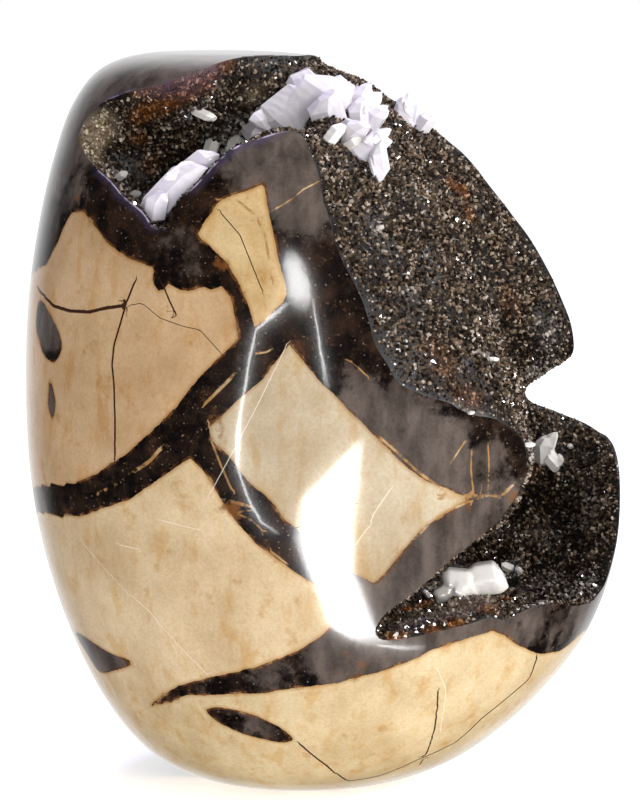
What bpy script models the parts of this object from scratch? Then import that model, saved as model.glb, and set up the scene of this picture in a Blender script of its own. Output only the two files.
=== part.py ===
"""A polished septarian nodule, cut to an egg and open on one side to its crystal-lined hollow.

The stone stands on a small ground flat. +Z is up, -Y is the front and +X the side where the hollow opens.
The origin is the centre of the stone's own footprint box, on the ground. Every size below is in millimetres,
and MM turns it to metres.
"""

import math

import bmesh
import bpy
from mathutils import Euler, Matrix, Vector, noise

MM = 0.001

# The egg's outline in level slices, from the ground flat up: height, left edge, right edge, half depth.
EGG_SLICES = [
    (0.0, -22.0, 14.0, 17.0),
    (2.6, -31.0, 23.5, 25.5),
    (8.0, -38.5, 33.5, 34.0),
    (18.0, -46.0, 45.0, 42.0),
    (32.0, -52.6, 55.6, 47.8),
    (48.0, -57.6, 60.9, 50.8),
    (64.0, -60.3, 61.6, 52.0),
    (82.0, -61.0, 60.4, 52.0),
    (100.0, -60.2, 56.0, 50.2),
    (116.0, -57.8, 48.0, 46.8),
    (130.0, -54.4, 37.0, 41.5),
    (140.0, -50.6, 25.5, 35.0),
    (146.8, -45.0, 12.0, 26.5),
    (149.8, -36.0, -6.0, 14.0),
    (150.2, -22.0, -22.0, 0.0),
]
EGG_SIDES = 48        # points round each slice
EGG_STEPS = 2         # slices added between two rows of the table

# The side hollow in level slices. Each row is a height and the corners of the air there, seen from above:
# the front rim of the tongue, three along its crystal face, the groove behind it, three along the rear wall,
# the rear rim, and four outside the stone.
SIDE_HOLLOW = [
    (34.5, [(13, -30), (12, -27), (11, -23), (10, -18), (10, -10), (15, 3), (30, 9), (42, 4), (49, -6),
            (48, -10), (42, -17), (30, -24), (20, -29)]),
    (38.0, [(9, -49), (10, -42), (11, -32), (10, -21), (7, -8), (12, 8), (30, 15), (46, 5), (53, -9),
            (50, -15), (38, -26), (26, -70), (9, -70)]),
    (41.0, [(8.5, -49), (10, -42), (11, -32), (9, -21), (5, -7), (10, 11), (32, 19), (48, 8), (58, -9),
            (66, -32), (42, -31), (31, -70), (9, -70)]),
    (44.5, [(10.5, -49.3), (11.5, -41), (11, -31), (9, -20), (4, -6), (10, 13), (32, 21), (49, 9), (59, -9),
            (90, -14), (95, -40), (50, -76), (10.5, -72)]),
    (48.0, [(15.5, -49.2), (15.5, -41), (14, -31), (11, -20), (2, -4), (9, 16), (34, 24.5), (51, 12), (60.3, -8),
            (92, -10), (95, -60), (50, -76), (17, -72)]),
    (54.0, [(22.8, -48.1), (23, -41), (22, -31), (19, -21), (3, -3), (10, 18), (36, 26), (53, 14), (61.3, -6),
            (92, -6), (95, -60), (50, -76), (25, -72)]),
    (61.0, [(32.6, -44.2), (33.5, -39), (33, -31), (30, -22), (5, -2), (12, 20), (37, 27), (54, 15), (61.5, -2),
            (92, 0), (95, -60), (60, -74), (38, -66)]),
    (67.5, [(37.4, -41.4), (39, -37), (39.2, -30), (38, -21), (9, -1), (15, 20), (38, 28), (55, 18), (60.8, 7),
            (92, 18), (95, -60), (60, -74), (46, -62)]),
    (69.5, [(38.0, -41.2), (39.5, -37), (40, -30), (39, -21), (11, -1), (17, 20), (37, 28), (48, 27), (55, 23),
            (90, 52), (95, -60), (60, -74), (47, -61)]),
    (72.5, [(38.2, -41), (39.8, -37), (40.3, -30), (39.8, -21), (14, -1), (19, 20), (36, 28), (41, 32),
            (45, 38), (74, 76), (95, -60), (60, -74), (47, -61)]),
    (75.5, [(37.5, -41.2), (39.2, -37.5), (40.3, -31), (40.3, -21), (17, -1), (22, 19), (36, 27), (40, 32),
            (43, 38), (66, 78), (95, -60), (60, -74), (46, -62)]),
    (79.0, [(30.5, -45.1), (35, -41), (38.8, -33), (40.2, -20), (21, -1), (26, 17), (36, 25), (41.5, 30),
            (45, 36), (70, 74), (95, -60), (60, -76), (38, -68)]),
    (82.4, [(22.6, -48.1), (30, -43), (36.5, -34), (39.5, -19), (24, -1), (29, 13), (38, 22), (45, 26),
            (50, 31), (84, 58), (95, -60), (60, -76), (28, -72)]),
    (86.0, [(13, -50.3), (25, -45), (34.5, -34), (38.8, -17), (26, 0), (31, 10), (38, 15), (46, 20), (53.3, 23.2),
            (88, 42), (95, -60), (60, -78), (18, -74)]),
    (92.0, [(9.5, -50.2), (21, -43), (31, -32), (36, -15), (27, 0), (31, 6), (37, 11), (44, 16.5), (52.3, 22.5),
            (86, 42), (95, -60), (60, -78), (14, -74)]),
    (100.0, [(6.4, -49.6), (17, -41), (27, -29), (33, -13), (26, 0), (29, 5), (34, 10), (41, 16), (49, 24),
             (82, 46), (95, -60), (60, -78), (10, -74)]),
    (110.0, [(2.4, -48.0), (12, -38), (22, -26), (28.8, -11), (23, -1), (26, 4), (30, 9), (36, 16), (43, 25.5),
             (74, 50), (95, -60), (60, -78), (6, -74)]),
    (118.0, [(0.2, -46), (8, -36), (17, -24), (23.5, -10), (20, -2), (22, 3), (26, 9), (31, 17), (37, 27),
             (66, 56), (95, -60), (60, -78), (3, -74)]),
    (127.0, [(-2.2, -42.6), (3.5, -33), (10, -22), (16.5, -9), (15, -3), (17, 2), (20, 8), (24.5, 17), (30, 27),
             (56, 60), (95, -60), (60, -78), (-1, -74)]),
    (134.5, [(-5, -38.6), (-2, -31), (2, -24), (6, -16), (8, -9), (9.5, -3), (12, 4), (15, 14), (20, 27),
             (44, 62), (95, -60), (60, -78), (-3, -74)]),
    (140.5, [(-12, -50), (-11, -30), (-8, -22), (0, -16), (3, -9), (4.5, -4), (6, 2), (8, 12), (11, 27),
             (34, 64), (95, -60), (60, -78), (-12, -74)]),
    (146.0, [(-14, -50), (-13, -32), (-12, -24), (-9, -14), (-6, -7), (-4, -2), (-3, 4), (-2, 12), (-1, 27),
             (22, 64), (95, -60), (60, -78), (-14, -74)]),
    (158.0, [(-16, -50), (-15, -32), (-13, -24), (-11, -14), (-8, -7), (-6, -2), (-5, 4), (-4, 12), (-3, 27),
             (14, 64), (95, -60), (60, -78), (-16, -74)]),
]

# The top hollow in level slices: the left end, four along the back wall, the right end, two behind the
# front wall, three outside the stone and the left rim.
TOP_HOLLOW = [
    (111.0, [(-31, -19), (-29, -15), (-26, -12), (-22, -11), (-19, -13), (-18, -16), (-18, -19), (-20, -23),
             (-23, -25), (-26, -25), (-29, -24), (-31, -22)]),
    (115.0, [(-36, -19), (-33, -12), (-28, -8), (-23, -6), (-17, -8), (-14, -13), (-14, -20), (-20, -27),
             (-25, -30), (-29, -31), (-32, -29), (-35, -25)]),
    (119.0, [(-39, -19), (-36, -11), (-31, -5), (-24, -2), (-15, -5), (-10, -11), (-12, -21), (-28, -34),
             (-30.5, -62), (-32, -62), (-34, -60), (-34, -32)]),
    (122.0, [(-42, -19), (-38.5, -10), (-33, -4), (-24, 0), (-14, -3), (-7, -10), (-9, -21), (-26.5, -35),
             (-29, -62), (-33, -64), (-41, -58), (-38.5, -30)]),
    (126.0, [(-44.5, -19), (-41, -9), (-34, -4), (-24, 0), (-13, -2), (-5, -8), (-6, -21), (-22.5, -35),
             (-24.5, -62), (-32, -66), (-49, -54), (-42.5, -27)]),
    (130.0, [(-46.8, -17), (-42, -10), (-34, -6), (-24, -2), (-13, -3), (-4, -7), (-4, -21), (-19, -34),
             (-21, -62), (-32, -68), (-62, -44), (-48.5, -21)]),
    (133.0, [(-47, -15.5), (-42, -12), (-34, -9), (-24, -5), (-14, -4), (-4, -6), (-3, -21), (-14.5, -33),
             (-17, -64), (-32, -70), (-66, -40), (-54, -19)]),
    (136.0, [(-47.3, -16), (-42, -14), (-34, -12), (-25, -8), (-15, -6), (-4, -6), (0, -21), (-2, -35),
             (-5, -66), (-30, -70), (-66, -38), (-55, -19)]),
    (141.0, [(-47.6, -16), (-42, -19), (-34, -19), (-25, -16), (-15, -10), (-5, -5), (2, -20), (2, -36),
             (-2, -66), (-30, -70), (-66, -38), (-56, -19)]),
    (146.0, [(-48, -17), (-41, -23.5), (-33, -25.5), (-25, -24), (-18, -15), (-7, -7), (3, -20), (3, -36),
             (-2, -66), (-30, -70), (-66, -38), (-57, -19)]),
    (158.0, [(-50, -18), (-41, -25), (-33, -27), (-24, -26), (-17, -16), (-8, -6), (3, -20), (3, -36),
             (-2, -66), (-30, -70), (-66, -38), (-58, -20)]),
]

# The ledge that stays standing on the side hollow's floor, as corners of one lump.
LEDGE = [
    (10, -54, 30), (36, -50, 30), (38, -22, 30), (12, -28, 30),
    (10, -50, 36.5), (17, -49, 35.5), (24, -47, 36.8), (34, -42, 40.5),
    (13, -40, 39), (24, -36, 41), (36, -30, 42.5),
]

# The clear crystals, each cluster a list of tablets: centre, then width, thickness and length, then the
# turn about X, Y and Z in degrees. The tablets of a cluster grow through each other.
CRYSTALS = {
    "calcite_cluster": [
        ((-1.0, -12.5, 140.5), (12, 7, 13), (20, 35, 10)),
        ((-6.0, -12.0, 139.0), (10, 6, 12), (-15, 50, -20)),
        ((-11.0, -9.5, 136.0), (7, 6, 9), (10, 25, 30)),
        ((1.0, -17.0, 138.5), (8, 5, 9), (35, -20, 5)),
        ((3.5, -11.0, 141.5), (6, 5, 7), (-10, -25, 40)),
        ((-3.0, -8.0, 143.0), (9, 6, 7), (5, 70, 15)),
        ((7.5, -10.5, 140.0), (4.5, 3.5, 9), (15, 12, 0)),
        ((9.3, -8.2, 139.0), (4, 3.5, 8), (-12, 28, 20)),
        ((7.2, -13.4, 138.0), (4.5, 4, 7), (30, -8, 10)),
        ((10.2, -11.5, 137.0), (4.5, 4, 7), (20, 40, -15)),
    ],
    "calcite_curl": [
        ((6.0, -25.5, 135.0), (5, 3.5, 8), (40, 40, 0)),
        ((9.3, -26.5, 132.5), (4.5, 3.5, 8), (25, 55, 15)),
        ((11.3, -27.8, 129.8), (3.6, 3.2, 7.5), (10, -15, 20)),
    ],
    "calcite_blade": [
        ((-29.0, -35.8, 125.0), (6.5, 4.0, 15), (10, 46, -14)),
        ((-24.0, -35.3, 129.4), (5.5, 3.8, 9), (0, 52, -14)),
        ((-32.0, -35.5, 121.5), (5, 4.5, 7), (20, 15, -10)),
    ],
    "calcite_rim": [
        ((19.3, 21.5, 135.8), (4.6, 4.2, 9), (-8, 12, 10)),
        ((17.0, 19.5, 136.0), (3.6, 3.6, 7), (6, -25, 30)),
        ((21.5, 20.0, 134.2), (4.0, 3.6, 6), (12, 35, 0)),
    ],
    "calcite_wall": [
        ((47.2, 17.6, 65.2), (4.8, 3.6, 7.5), (25, 10, -30)),
        ((49.0, 17.2, 63.2), (3.4, 3.0, 5.0), (10, -40, -10)),
    ],
    "calcite_knob": [
        ((33.2, -29.5, 45.2), (7.5, 6.5, 8), (15, 80, 10)),
        ((28.3, -30.5, 44.4), (6.5, 6, 8), (-10, 95, -15)),
        ((25.8, -31.5, 43.2), (4.5, 4.5, 5.5), (20, 60, 0)),
    ],
}

SOCKET_GAP = 0.35     # bare space round a crystal where it is rooted
WALL_GRAIN = 3.0      # how finely the hollow's walls are shaped
WALL_SHARE = 0.105    # share of that shape's faces that the walls keep
CRUST_SHARE = 0.056   # and the share that carries the crust's crystal points
LUMP_HEIGHT = 1.5     # how far the walls' rounded lumps stand out
LUMP_SPACING = 13.0
KNOT_HEIGHT = 0.5     # and the smaller knots on them
KNOT_SPACING = 5.0
EASE = 0.3            # how far the thinned walls are eased
CRUST_GAP = 0.35      # bare space between the stone and its crust, so that the solids don't touch
CRUST_THICKNESS = 1.7
SHARPEST_MOVE = 2.0   # a sharp corner moves in by no more than this many times the distance
CRYSTAL_HEIGHT = 1.3  # how far a crystal point stands out of the crust


def between(rows, steps):
    """The rows of a table with smooth rows added between them, on a curve through them all."""
    ends = [[2 * a - b for a, b in zip(rows[0], rows[1])], [2 * a - b for a, b in zip(rows[-1], rows[-2])]]
    line = [ends[0], *rows, ends[1]]
    made = []
    for i in range(1, len(line) - 2):
        for k in range(steps):
            t = k / steps
            made.append([
                0.5 * (2 * b + (c - a) * t + (2 * a - 5 * b + 4 * c - d) * t * t + (3 * b - a - 3 * c + d) * t ** 3)
                for a, b, c, d in zip(*line[i - 1:i + 3])
            ])
    made.append(list(rows[-1]))
    return made


def new_object(name, corners, faces):
    """An object from points in millimetres and the faces between them."""
    mesh = bpy.data.meshes.new(name)
    mesh.from_pydata([Vector(c) * MM for c in corners], [], faces)
    piece = bpy.data.objects.new(name, mesh)
    bpy.context.scene.collection.objects.link(piece)
    return piece


def outward(piece):
    """Turns every face of a closed piece outwards."""
    work = bmesh.new()
    work.from_mesh(piece.data)
    bmesh.ops.recalc_face_normals(work, faces=work.faces)
    work.to_mesh(piece.data)
    work.free()
    return piece


def loft(name, rings, top_point=None):
    """A closed skin over rings of points, one above the other, with flat ends or a point on top."""
    sides = len(rings[0])
    corners = [p for ring in rings for p in ring]
    faces = [tuple(range(sides))]
    for level in range(len(rings) - 1):
        low = level * sides
        for k in range(sides):
            right = (k + 1) % sides
            faces.append((low + k, low + right, low + sides + right, low + sides + k))
    last = (len(rings) - 1) * sides
    if top_point is None:
        faces.append(tuple(last + k for k in range(sides)))
    else:
        corners.append(top_point)
        faces += [(last + k, last + (k + 1) % sides, len(corners) - 1) for k in range(sides)]
    return outward(new_object(name, corners, faces))


def egg():
    """The polished outside: an egg a little fuller on its right, standing on its ground flat."""
    rings = []
    rows = between(EGG_SLICES, EGG_STEPS)
    for height, left, right, depth in rows[:-1]:
        centre, half = (left + right) / 2, (right - left) / 2
        turns = [2 * math.pi * k / EGG_SIDES for k in range(EGG_SIDES)]
        rings.append([(centre + half * math.cos(a), depth * math.sin(a), height) for a in turns])
    top = rows[-1]
    return loft("nodule", rings, top_point=(top[1], 0, top[0]))


def baked(piece):
    """Gives the piece the mesh that its modifiers make."""
    bpy.context.view_layer.update()
    made = bpy.data.meshes.new_from_object(piece.evaluated_get(bpy.context.evaluated_depsgraph_get()))
    piece.modifiers.clear()
    piece.data = made
    return piece


def boolean(piece, tool, operation):
    """Joins, cuts or crosses a piece with another solid."""
    step = piece.modifiers.new(operation, "BOOLEAN")
    step.operation = operation
    step.solver = "EXACT"
    step.object = tool
    return baked(piece)


def remove(*pieces):
    for piece in pieces:
        bpy.data.objects.remove(piece)


def hull(name, corners):
    """The smallest solid with flat faces round some points."""
    work = bmesh.new()
    for c in corners:
        work.verts.new(Vector(c) * MM)
    made = bmesh.ops.convex_hull(work, input=work.verts)
    bmesh.ops.delete(work, geom=[v for v in made["geom_interior"] if v.is_valid], context="VERTS")
    bmesh.ops.recalc_face_normals(work, faces=work.faces)
    piece = new_object(name, [], [])
    work.to_mesh(piece.data)
    work.free()
    return piece


def lumps(point):
    """How far the wall stands out at a point, in millimetres: rounded lumps with smaller knots on them."""
    large = noise.noise(point / (LUMP_SPACING * MM))
    small = noise.noise(point / (KNOT_SPACING * MM) + Vector((7.0, 3.0, 5.0)))
    return LUMP_HEIGHT * (2 * abs(large) - 0.5) + KNOT_HEIGHT * small


def largest_part(piece):
    """Drops the chips that lie apart from a piece's main body."""
    work = bmesh.new()
    work.from_mesh(piece.data)
    whole, parts = set(work.verts), []
    while whole:
        part, edge = set(), [whole.pop()]
        while edge:
            corner = edge.pop()
            part.add(corner)
            reached = [e.other_vert(corner) for e in corner.link_edges]
            edge += [v for v in reached if v in whole]
            whole.difference_update(reached)
        parts.append(part)
    largest = max(parts, key=len)
    bmesh.ops.delete(work, geom=[v for v in work.verts if v not in largest], context="VERTS")
    work.to_mesh(piece.data)
    work.free()


def evened(piece):
    """Gives a piece an even, fine skin."""
    grain = piece.modifiers.new("grain", "REMESH")
    grain.mode = "VOXEL"
    grain.voxel_size = WALL_GRAIN * MM
    smooth = piece.modifiers.new("smooth", "SMOOTH")
    smooth.factor = 0.5
    smooth.iterations = 1
    largest_part(baked(piece))


def thinned(piece, share):
    """Keeps a share of a piece's faces, and eases the folds that this leaves."""
    thin = piece.modifiers.new("thin", "DECIMATE")
    thin.ratio = share
    ease = piece.modifiers.new("ease", "SMOOTH")
    ease.factor = EASE
    ease.iterations = 2
    piece.modifiers.new("flat_faces", "TRIANGULATE")
    baked(piece)


def hollow():
    """The air in the stone, as one solid with lumpy sides."""
    air = loft("air", [[(x, y, height) for x, y in ring] for height, ring in SIDE_HOLLOW])
    ledge = hull("ledge", LEDGE)
    boolean(air, ledge, "DIFFERENCE")
    upper = loft("upper_air", [[(x, y, height) for x, y in ring] for height, ring in TOP_HOLLOW])
    boolean(air, upper, "UNION")
    remove(ledge, upper)
    evened(air)
    normals = [v.normal.copy() for v in air.data.vertices]
    for v, n in zip(air.data.vertices, normals):
        v.co -= n * lumps(v.co) * MM
    thinned(air, WALL_SHARE)
    return air


def shrunk(piece, name, distance):
    """A copy whose skin lies a distance further in."""
    made = piece.copy()
    made.data = piece.data.copy()
    made.name = name
    bpy.context.scene.collection.objects.link(made)
    work = bmesh.new()
    work.from_mesh(made.data)
    moves = [v.normal * min(v.calc_shell_factor(), SHARPEST_MOVE) * distance * MM for v in work.verts]
    for v, move in zip(work.verts, moves):
        v.co -= move
    work.to_mesh(made.data)
    work.free()
    return made


def pointed(piece, height):
    """Raises a crystal point in the middle of each face, into the air."""
    work = bmesh.new()
    work.from_mesh(piece.data)
    poked = bmesh.ops.poke(work, faces=work.faces)
    work.normal_update()
    for v in poked["verts"]:
        reach = 0.55 + 0.45 * noise.noise(v.co / (3.0 * MM))
        sway = Vector([noise.noise(v.co / (2.0 * MM) + Vector((k, 0.0, 0.0))) for k in (11.0, 23.0, 37.0)])
        v.co -= (v.normal * reach + sway * 0.3) * height * MM
    work.to_mesh(piece.data)
    work.free()


def crust(stone, air):
    """The druse: a thin crust of crystal points that lines the hollow, a hair's breadth clear of the stone."""
    skin = shrunk(air, "druse", CRUST_GAP)
    inside = shrunk(air, "inside", CRUST_GAP + CRUST_THICKNESS)
    evened(inside)
    thinned(inside, CRUST_SHARE)
    pointed(inside, CRYSTAL_HEIGHT)
    boolean(skin, stone, "INTERSECT")
    boolean(skin, inside, "DIFFERENCE")
    remove(inside)
    largest_part(skin)
    return skin


def tablet(name, centre, size, turn, spare=0.0):
    """One flat-faced crystal: a six-sided bar with slanted, cut-off ends."""
    width, thickness, length = (s / 2 + spare for s in size)
    corners = []
    for height, share, lean in ((-1.0, 0.45, -0.2), (-0.62, 1.0, 0.0), (0.55, 1.0, 0.0), (1.0, 0.5, 0.25)):
        for k in range(6):
            angle = math.radians(60 * k + 30)
            corners.append(Vector((
                (share * math.cos(angle) + lean) * width,
                share * math.sin(angle) * thickness,
                (height + 0.12 * math.cos(angle)) * length,
            )))
    turned = Euler([math.radians(t) for t in turn]).to_matrix()
    return hull(name, [turned @ c + Vector(centre) for c in corners])


def crystals(name, tablets, spare=0.0):
    """Tablets grown together in one solid."""
    whole = tablet(name, *tablets[0], spare)
    for tablet_place in tablets[1:]:
        branch = tablet("branch", *tablet_place, spare)
        boolean(whole, branch, "UNION")
        remove(branch)
    return whole


def rooted(crystal_name, stone, druse):
    """A crystal cluster, with the socket that it stands in cut from the stone and the crust."""
    socket = crystals("socket", CRYSTALS[crystal_name], SOCKET_GAP)
    for base in (stone, druse):
        boolean(base, socket, "DIFFERENCE")
        largest_part(base)
    remove(socket)
    return crystals(crystal_name, CRYSTALS[crystal_name])


def centred(pieces):
    """Moves all the pieces so that the middle of their footprint box is over the origin."""
    corners = [v.co for piece in pieces for v in piece.data.vertices]
    middle = [(min(c[i] for c in corners) + max(c[i] for c in corners)) / 2 for i in (0, 1)]
    for piece in pieces:
        piece.data.transform(Matrix.Translation((-middle[0], -middle[1], 0)))


def finish(piece, colour, roughness, alpha=1.0):
    """Paints a piece in one plain finish."""
    paint = bpy.data.materials.new(piece.name)
    paint.use_nodes = True
    shader = paint.node_tree.nodes["Principled BSDF"]
    shader.inputs["Base Color"].default_value = (*colour, 1.0)
    shader.inputs["Roughness"].default_value = roughness
    shader.inputs["Metallic"].default_value = 0.0
    shader.inputs["Transmission Weight"].default_value = 1.0 - alpha
    piece.data.materials.clear()
    piece.data.materials.append(paint)


def main():
    for old in list(bpy.data.objects):
        bpy.data.objects.remove(old)
    stone = egg()
    air = hollow()
    druse = crust(stone, air)
    boolean(stone, air, "DIFFERENCE")
    remove(air)
    spars = [rooted(name, stone, druse) for name in CRYSTALS]
    centred([stone, druse, *spars])
    finish(stone, (0.55, 0.45, 0.30), 0.15)
    finish(druse, (0.05, 0.04, 0.03), 0.3)
    for spar in spars:
        finish(spar, (0.85, 0.82, 0.90), 0.1, alpha=0.4)


main()
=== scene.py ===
"""The looks of a polished septarian nodule: its stone, its druse, its clear calcite and the stage round it.

Tables are in millimetres, and MM turns them to metres. +Z is up and -Y the front. Where a list says so,
it holds points of the photograph instead, in its 640 by 800 frame, and each is cast onto the stone.
"""

import math
from types import SimpleNamespace

import bmesh
import bpy
import numpy as np
from mathutils import Euler, Matrix, Vector, kdtree, noise
from mathutils.bvhtree import BVHTree


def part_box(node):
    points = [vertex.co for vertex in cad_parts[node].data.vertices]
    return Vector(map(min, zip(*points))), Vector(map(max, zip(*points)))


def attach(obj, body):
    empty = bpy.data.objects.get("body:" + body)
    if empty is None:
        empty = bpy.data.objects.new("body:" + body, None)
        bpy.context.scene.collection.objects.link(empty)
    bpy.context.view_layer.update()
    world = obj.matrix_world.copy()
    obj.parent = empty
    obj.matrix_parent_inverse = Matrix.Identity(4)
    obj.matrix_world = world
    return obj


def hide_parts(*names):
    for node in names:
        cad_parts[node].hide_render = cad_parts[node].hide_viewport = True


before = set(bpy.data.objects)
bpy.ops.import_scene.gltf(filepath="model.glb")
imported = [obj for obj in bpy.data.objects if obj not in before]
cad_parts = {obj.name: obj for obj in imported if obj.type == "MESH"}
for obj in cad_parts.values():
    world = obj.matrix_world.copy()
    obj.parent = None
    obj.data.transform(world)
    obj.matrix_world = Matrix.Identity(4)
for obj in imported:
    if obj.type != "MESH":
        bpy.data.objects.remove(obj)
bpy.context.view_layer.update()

bl_info = {
    "name": "Septarian nodule",
    "version": (1, 0, 0),
    "blender": (4, 5, 0),
    "location": "3D View > Sidebar > Nodule",
    "description": "Builds a polished septarian egg with open druse hollows and clear calcite",
    "category": "Add Mesh",
}

MM = 0.001

# The stone's outline in level slices, from the ground flat up: height, left edge, right edge, half depth.
EGG_SLICES = [
    (0.0, -22.0, 14.0, 17.0),
    (2.6, -31.0, 23.5, 25.5),
    (8.0, -38.5, 33.5, 34.0),
    (18.0, -46.0, 45.0, 42.0),
    (32.0, -52.6, 55.6, 47.8),
    (48.0, -57.6, 60.9, 50.8),
    (64.0, -60.3, 61.6, 52.0),
    (82.0, -61.0, 60.4, 52.0),
    (100.0, -60.2, 56.0, 50.2),
    (116.0, -57.8, 48.0, 46.8),
    (130.0, -54.4, 37.0, 41.5),
    (140.0, -50.6, 25.5, 35.0),
    (146.8, -45.0, 12.0, 26.5),
    (149.8, -36.0, -6.0, 14.0),
    (150.2, -22.0, -22.0, 0.0),
]
EGG_LEFT = -61.0       # the outline's left edge, which shows how far the frame was centred
EGG_CORE = (-0.5, 0.0, 72.0)     # the stone's middle, from which directions round it are told
ROUGH_EGG = (48, 32)   # points round and slices of the eggs that cut the air and that aim the reflections
MIRROR_EGG = (192, 128)
AIR_TRIM = 1.09        # how much larger than the egg the hollows' air is before it is cut away
AIR_TRIM_HEIGHT = 60.0     # the height that stays where it is in this

# The side hollow in level slices. Each row is a height and the corners of the air there, seen from above:
# the front rim of the tongue, three along its crystal face, the groove behind it, three along the rear wall,
# the rear rim, and four outside the stone.
SIDE_HOLLOW = [
    (34.5, [(13, -30), (12, -27), (11, -23), (10, -18), (10, -10), (15, 3), (30, 9), (42, 4), (49, -6),
            (48, -10), (42, -17), (30, -24), (20, -29)]),
    (38.0, [(9, -49), (10, -42), (11, -32), (10, -21), (7, -8), (12, 8), (30, 15), (46, 5), (53, -9),
            (50, -15), (38, -26), (26, -70), (9, -70)]),
    (41.0, [(8.5, -49), (10, -42), (11, -32), (9, -21), (5, -7), (10, 11), (32, 19), (48, 8), (58, -9),
            (66, -32), (42, -31), (31, -70), (9, -70)]),
    (44.5, [(10.5, -49.3), (11.5, -41), (11, -31), (9, -20), (4, -6), (10, 13), (32, 21), (49, 9), (59, -9),
            (90, -14), (95, -40), (50, -76), (10.5, -72)]),
    (48.0, [(15.5, -49.2), (15.5, -41), (14, -31), (11, -20), (2, -4), (9, 16), (34, 24.5), (51, 12),
            (60.3, -8), (92, -10), (95, -60), (50, -76), (17, -72)]),
    (54.0, [(22.8, -48.1), (23, -41), (22, -31), (19, -21), (3, -3), (10, 18), (36, 26), (53, 14), (61.3, -6),
            (92, -6), (95, -60), (50, -76), (25, -72)]),
    (61.0, [(32.6, -44.2), (33.5, -39), (33, -31), (30, -22), (5, -2), (12, 20), (37, 27), (54, 15),
            (61.5, -2), (92, 0), (95, -60), (60, -74), (38, -66)]),
    (67.5, [(37.4, -41.4), (39, -37), (39.2, -30), (38, -21), (9, -1), (15, 20), (38, 28), (55, 18),
            (60.8, 7), (92, 18), (95, -60), (60, -74), (46, -62)]),
    (69.5, [(38.0, -41.2), (39.5, -37), (40, -30), (39, -21), (11, -1), (17, 20), (37, 28), (48, 27),
            (55, 23), (90, 52), (95, -60), (60, -74), (47, -61)]),
    (72.5, [(38.2, -41), (39.8, -37), (40.3, -30), (39.8, -21), (14, -1), (19, 20), (36, 28), (41, 32),
            (45, 38), (74, 76), (95, -60), (60, -74), (47, -61)]),
    (75.5, [(37.5, -41.2), (39.2, -37.5), (40.3, -31), (40.3, -21), (17, -1), (22, 19), (36, 27), (40, 32),
            (43, 38), (66, 78), (95, -60), (60, -74), (46, -62)]),
    (79.0, [(30.5, -45.1), (35, -41), (38.8, -33), (40.2, -20), (21, -1), (26, 17), (36, 25), (41.5, 30),
            (45, 36), (70, 74), (95, -60), (60, -76), (38, -68)]),
    (82.4, [(22.6, -48.1), (30, -43), (36.5, -34), (39.5, -19), (24, -1), (29, 13), (38, 22), (45, 26),
            (50, 31), (84, 58), (95, -60), (60, -76), (28, -72)]),
    (86.0, [(13, -50.3), (25, -45), (34.5, -34), (38.8, -17), (26, 0), (31, 10), (38, 15), (46, 20),
            (53.3, 23.2), (88, 42), (95, -60), (60, -78), (18, -74)]),
    (92.0, [(9.5, -50.2), (21, -43), (31, -32), (36, -15), (27, 0), (31, 6), (37, 11), (44, 16.5),
            (52.3, 22.5), (86, 42), (95, -60), (60, -78), (14, -74)]),
    (100.0, [(6.4, -49.6), (17, -41), (27, -29), (33, -13), (26, 0), (29, 5), (34, 10), (41, 16), (49, 24),
             (82, 46), (95, -60), (60, -78), (10, -74)]),
    (110.0, [(2.4, -48.0), (12, -38), (22, -26), (28.8, -11), (23, -1), (26, 4), (30, 9), (36, 16),
             (43, 25.5), (74, 50), (95, -60), (60, -78), (6, -74)]),
    (118.0, [(0.2, -46), (8, -36), (17, -24), (23.5, -10), (20, -2), (22, 3), (26, 9), (31, 17), (37, 27),
             (66, 56), (95, -60), (60, -78), (3, -74)]),
    (127.0, [(-2.2, -42.6), (3.5, -33), (10, -22), (16.5, -9), (15, -3), (17, 2), (20, 8), (24.5, 17),
             (30, 27), (56, 60), (95, -60), (60, -78), (-1, -74)]),
    (134.5, [(-5, -38.6), (-2, -31), (2, -24), (6, -16), (8, -9), (9.5, -3), (12, 4), (15, 14), (20, 27),
             (44, 62), (95, -60), (60, -78), (-3, -74)]),
    (140.5, [(-12, -50), (-11, -30), (-8, -22), (0, -16), (3, -9), (4.5, -4), (6, 2), (8, 12), (11, 27),
             (34, 64), (95, -60), (60, -78), (-12, -74)]),
    (146.0, [(-14, -50), (-13, -32), (-12, -24), (-9, -14), (-6, -7), (-4, -2), (-3, 4), (-2, 12), (-1, 27),
             (22, 64), (95, -60), (60, -78), (-14, -74)]),
    (158.0, [(-16, -50), (-15, -32), (-13, -24), (-11, -14), (-8, -7), (-6, -2), (-5, 4), (-4, 12), (-3, 27),
             (14, 64), (95, -60), (60, -78), (-16, -74)]),
]

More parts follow.
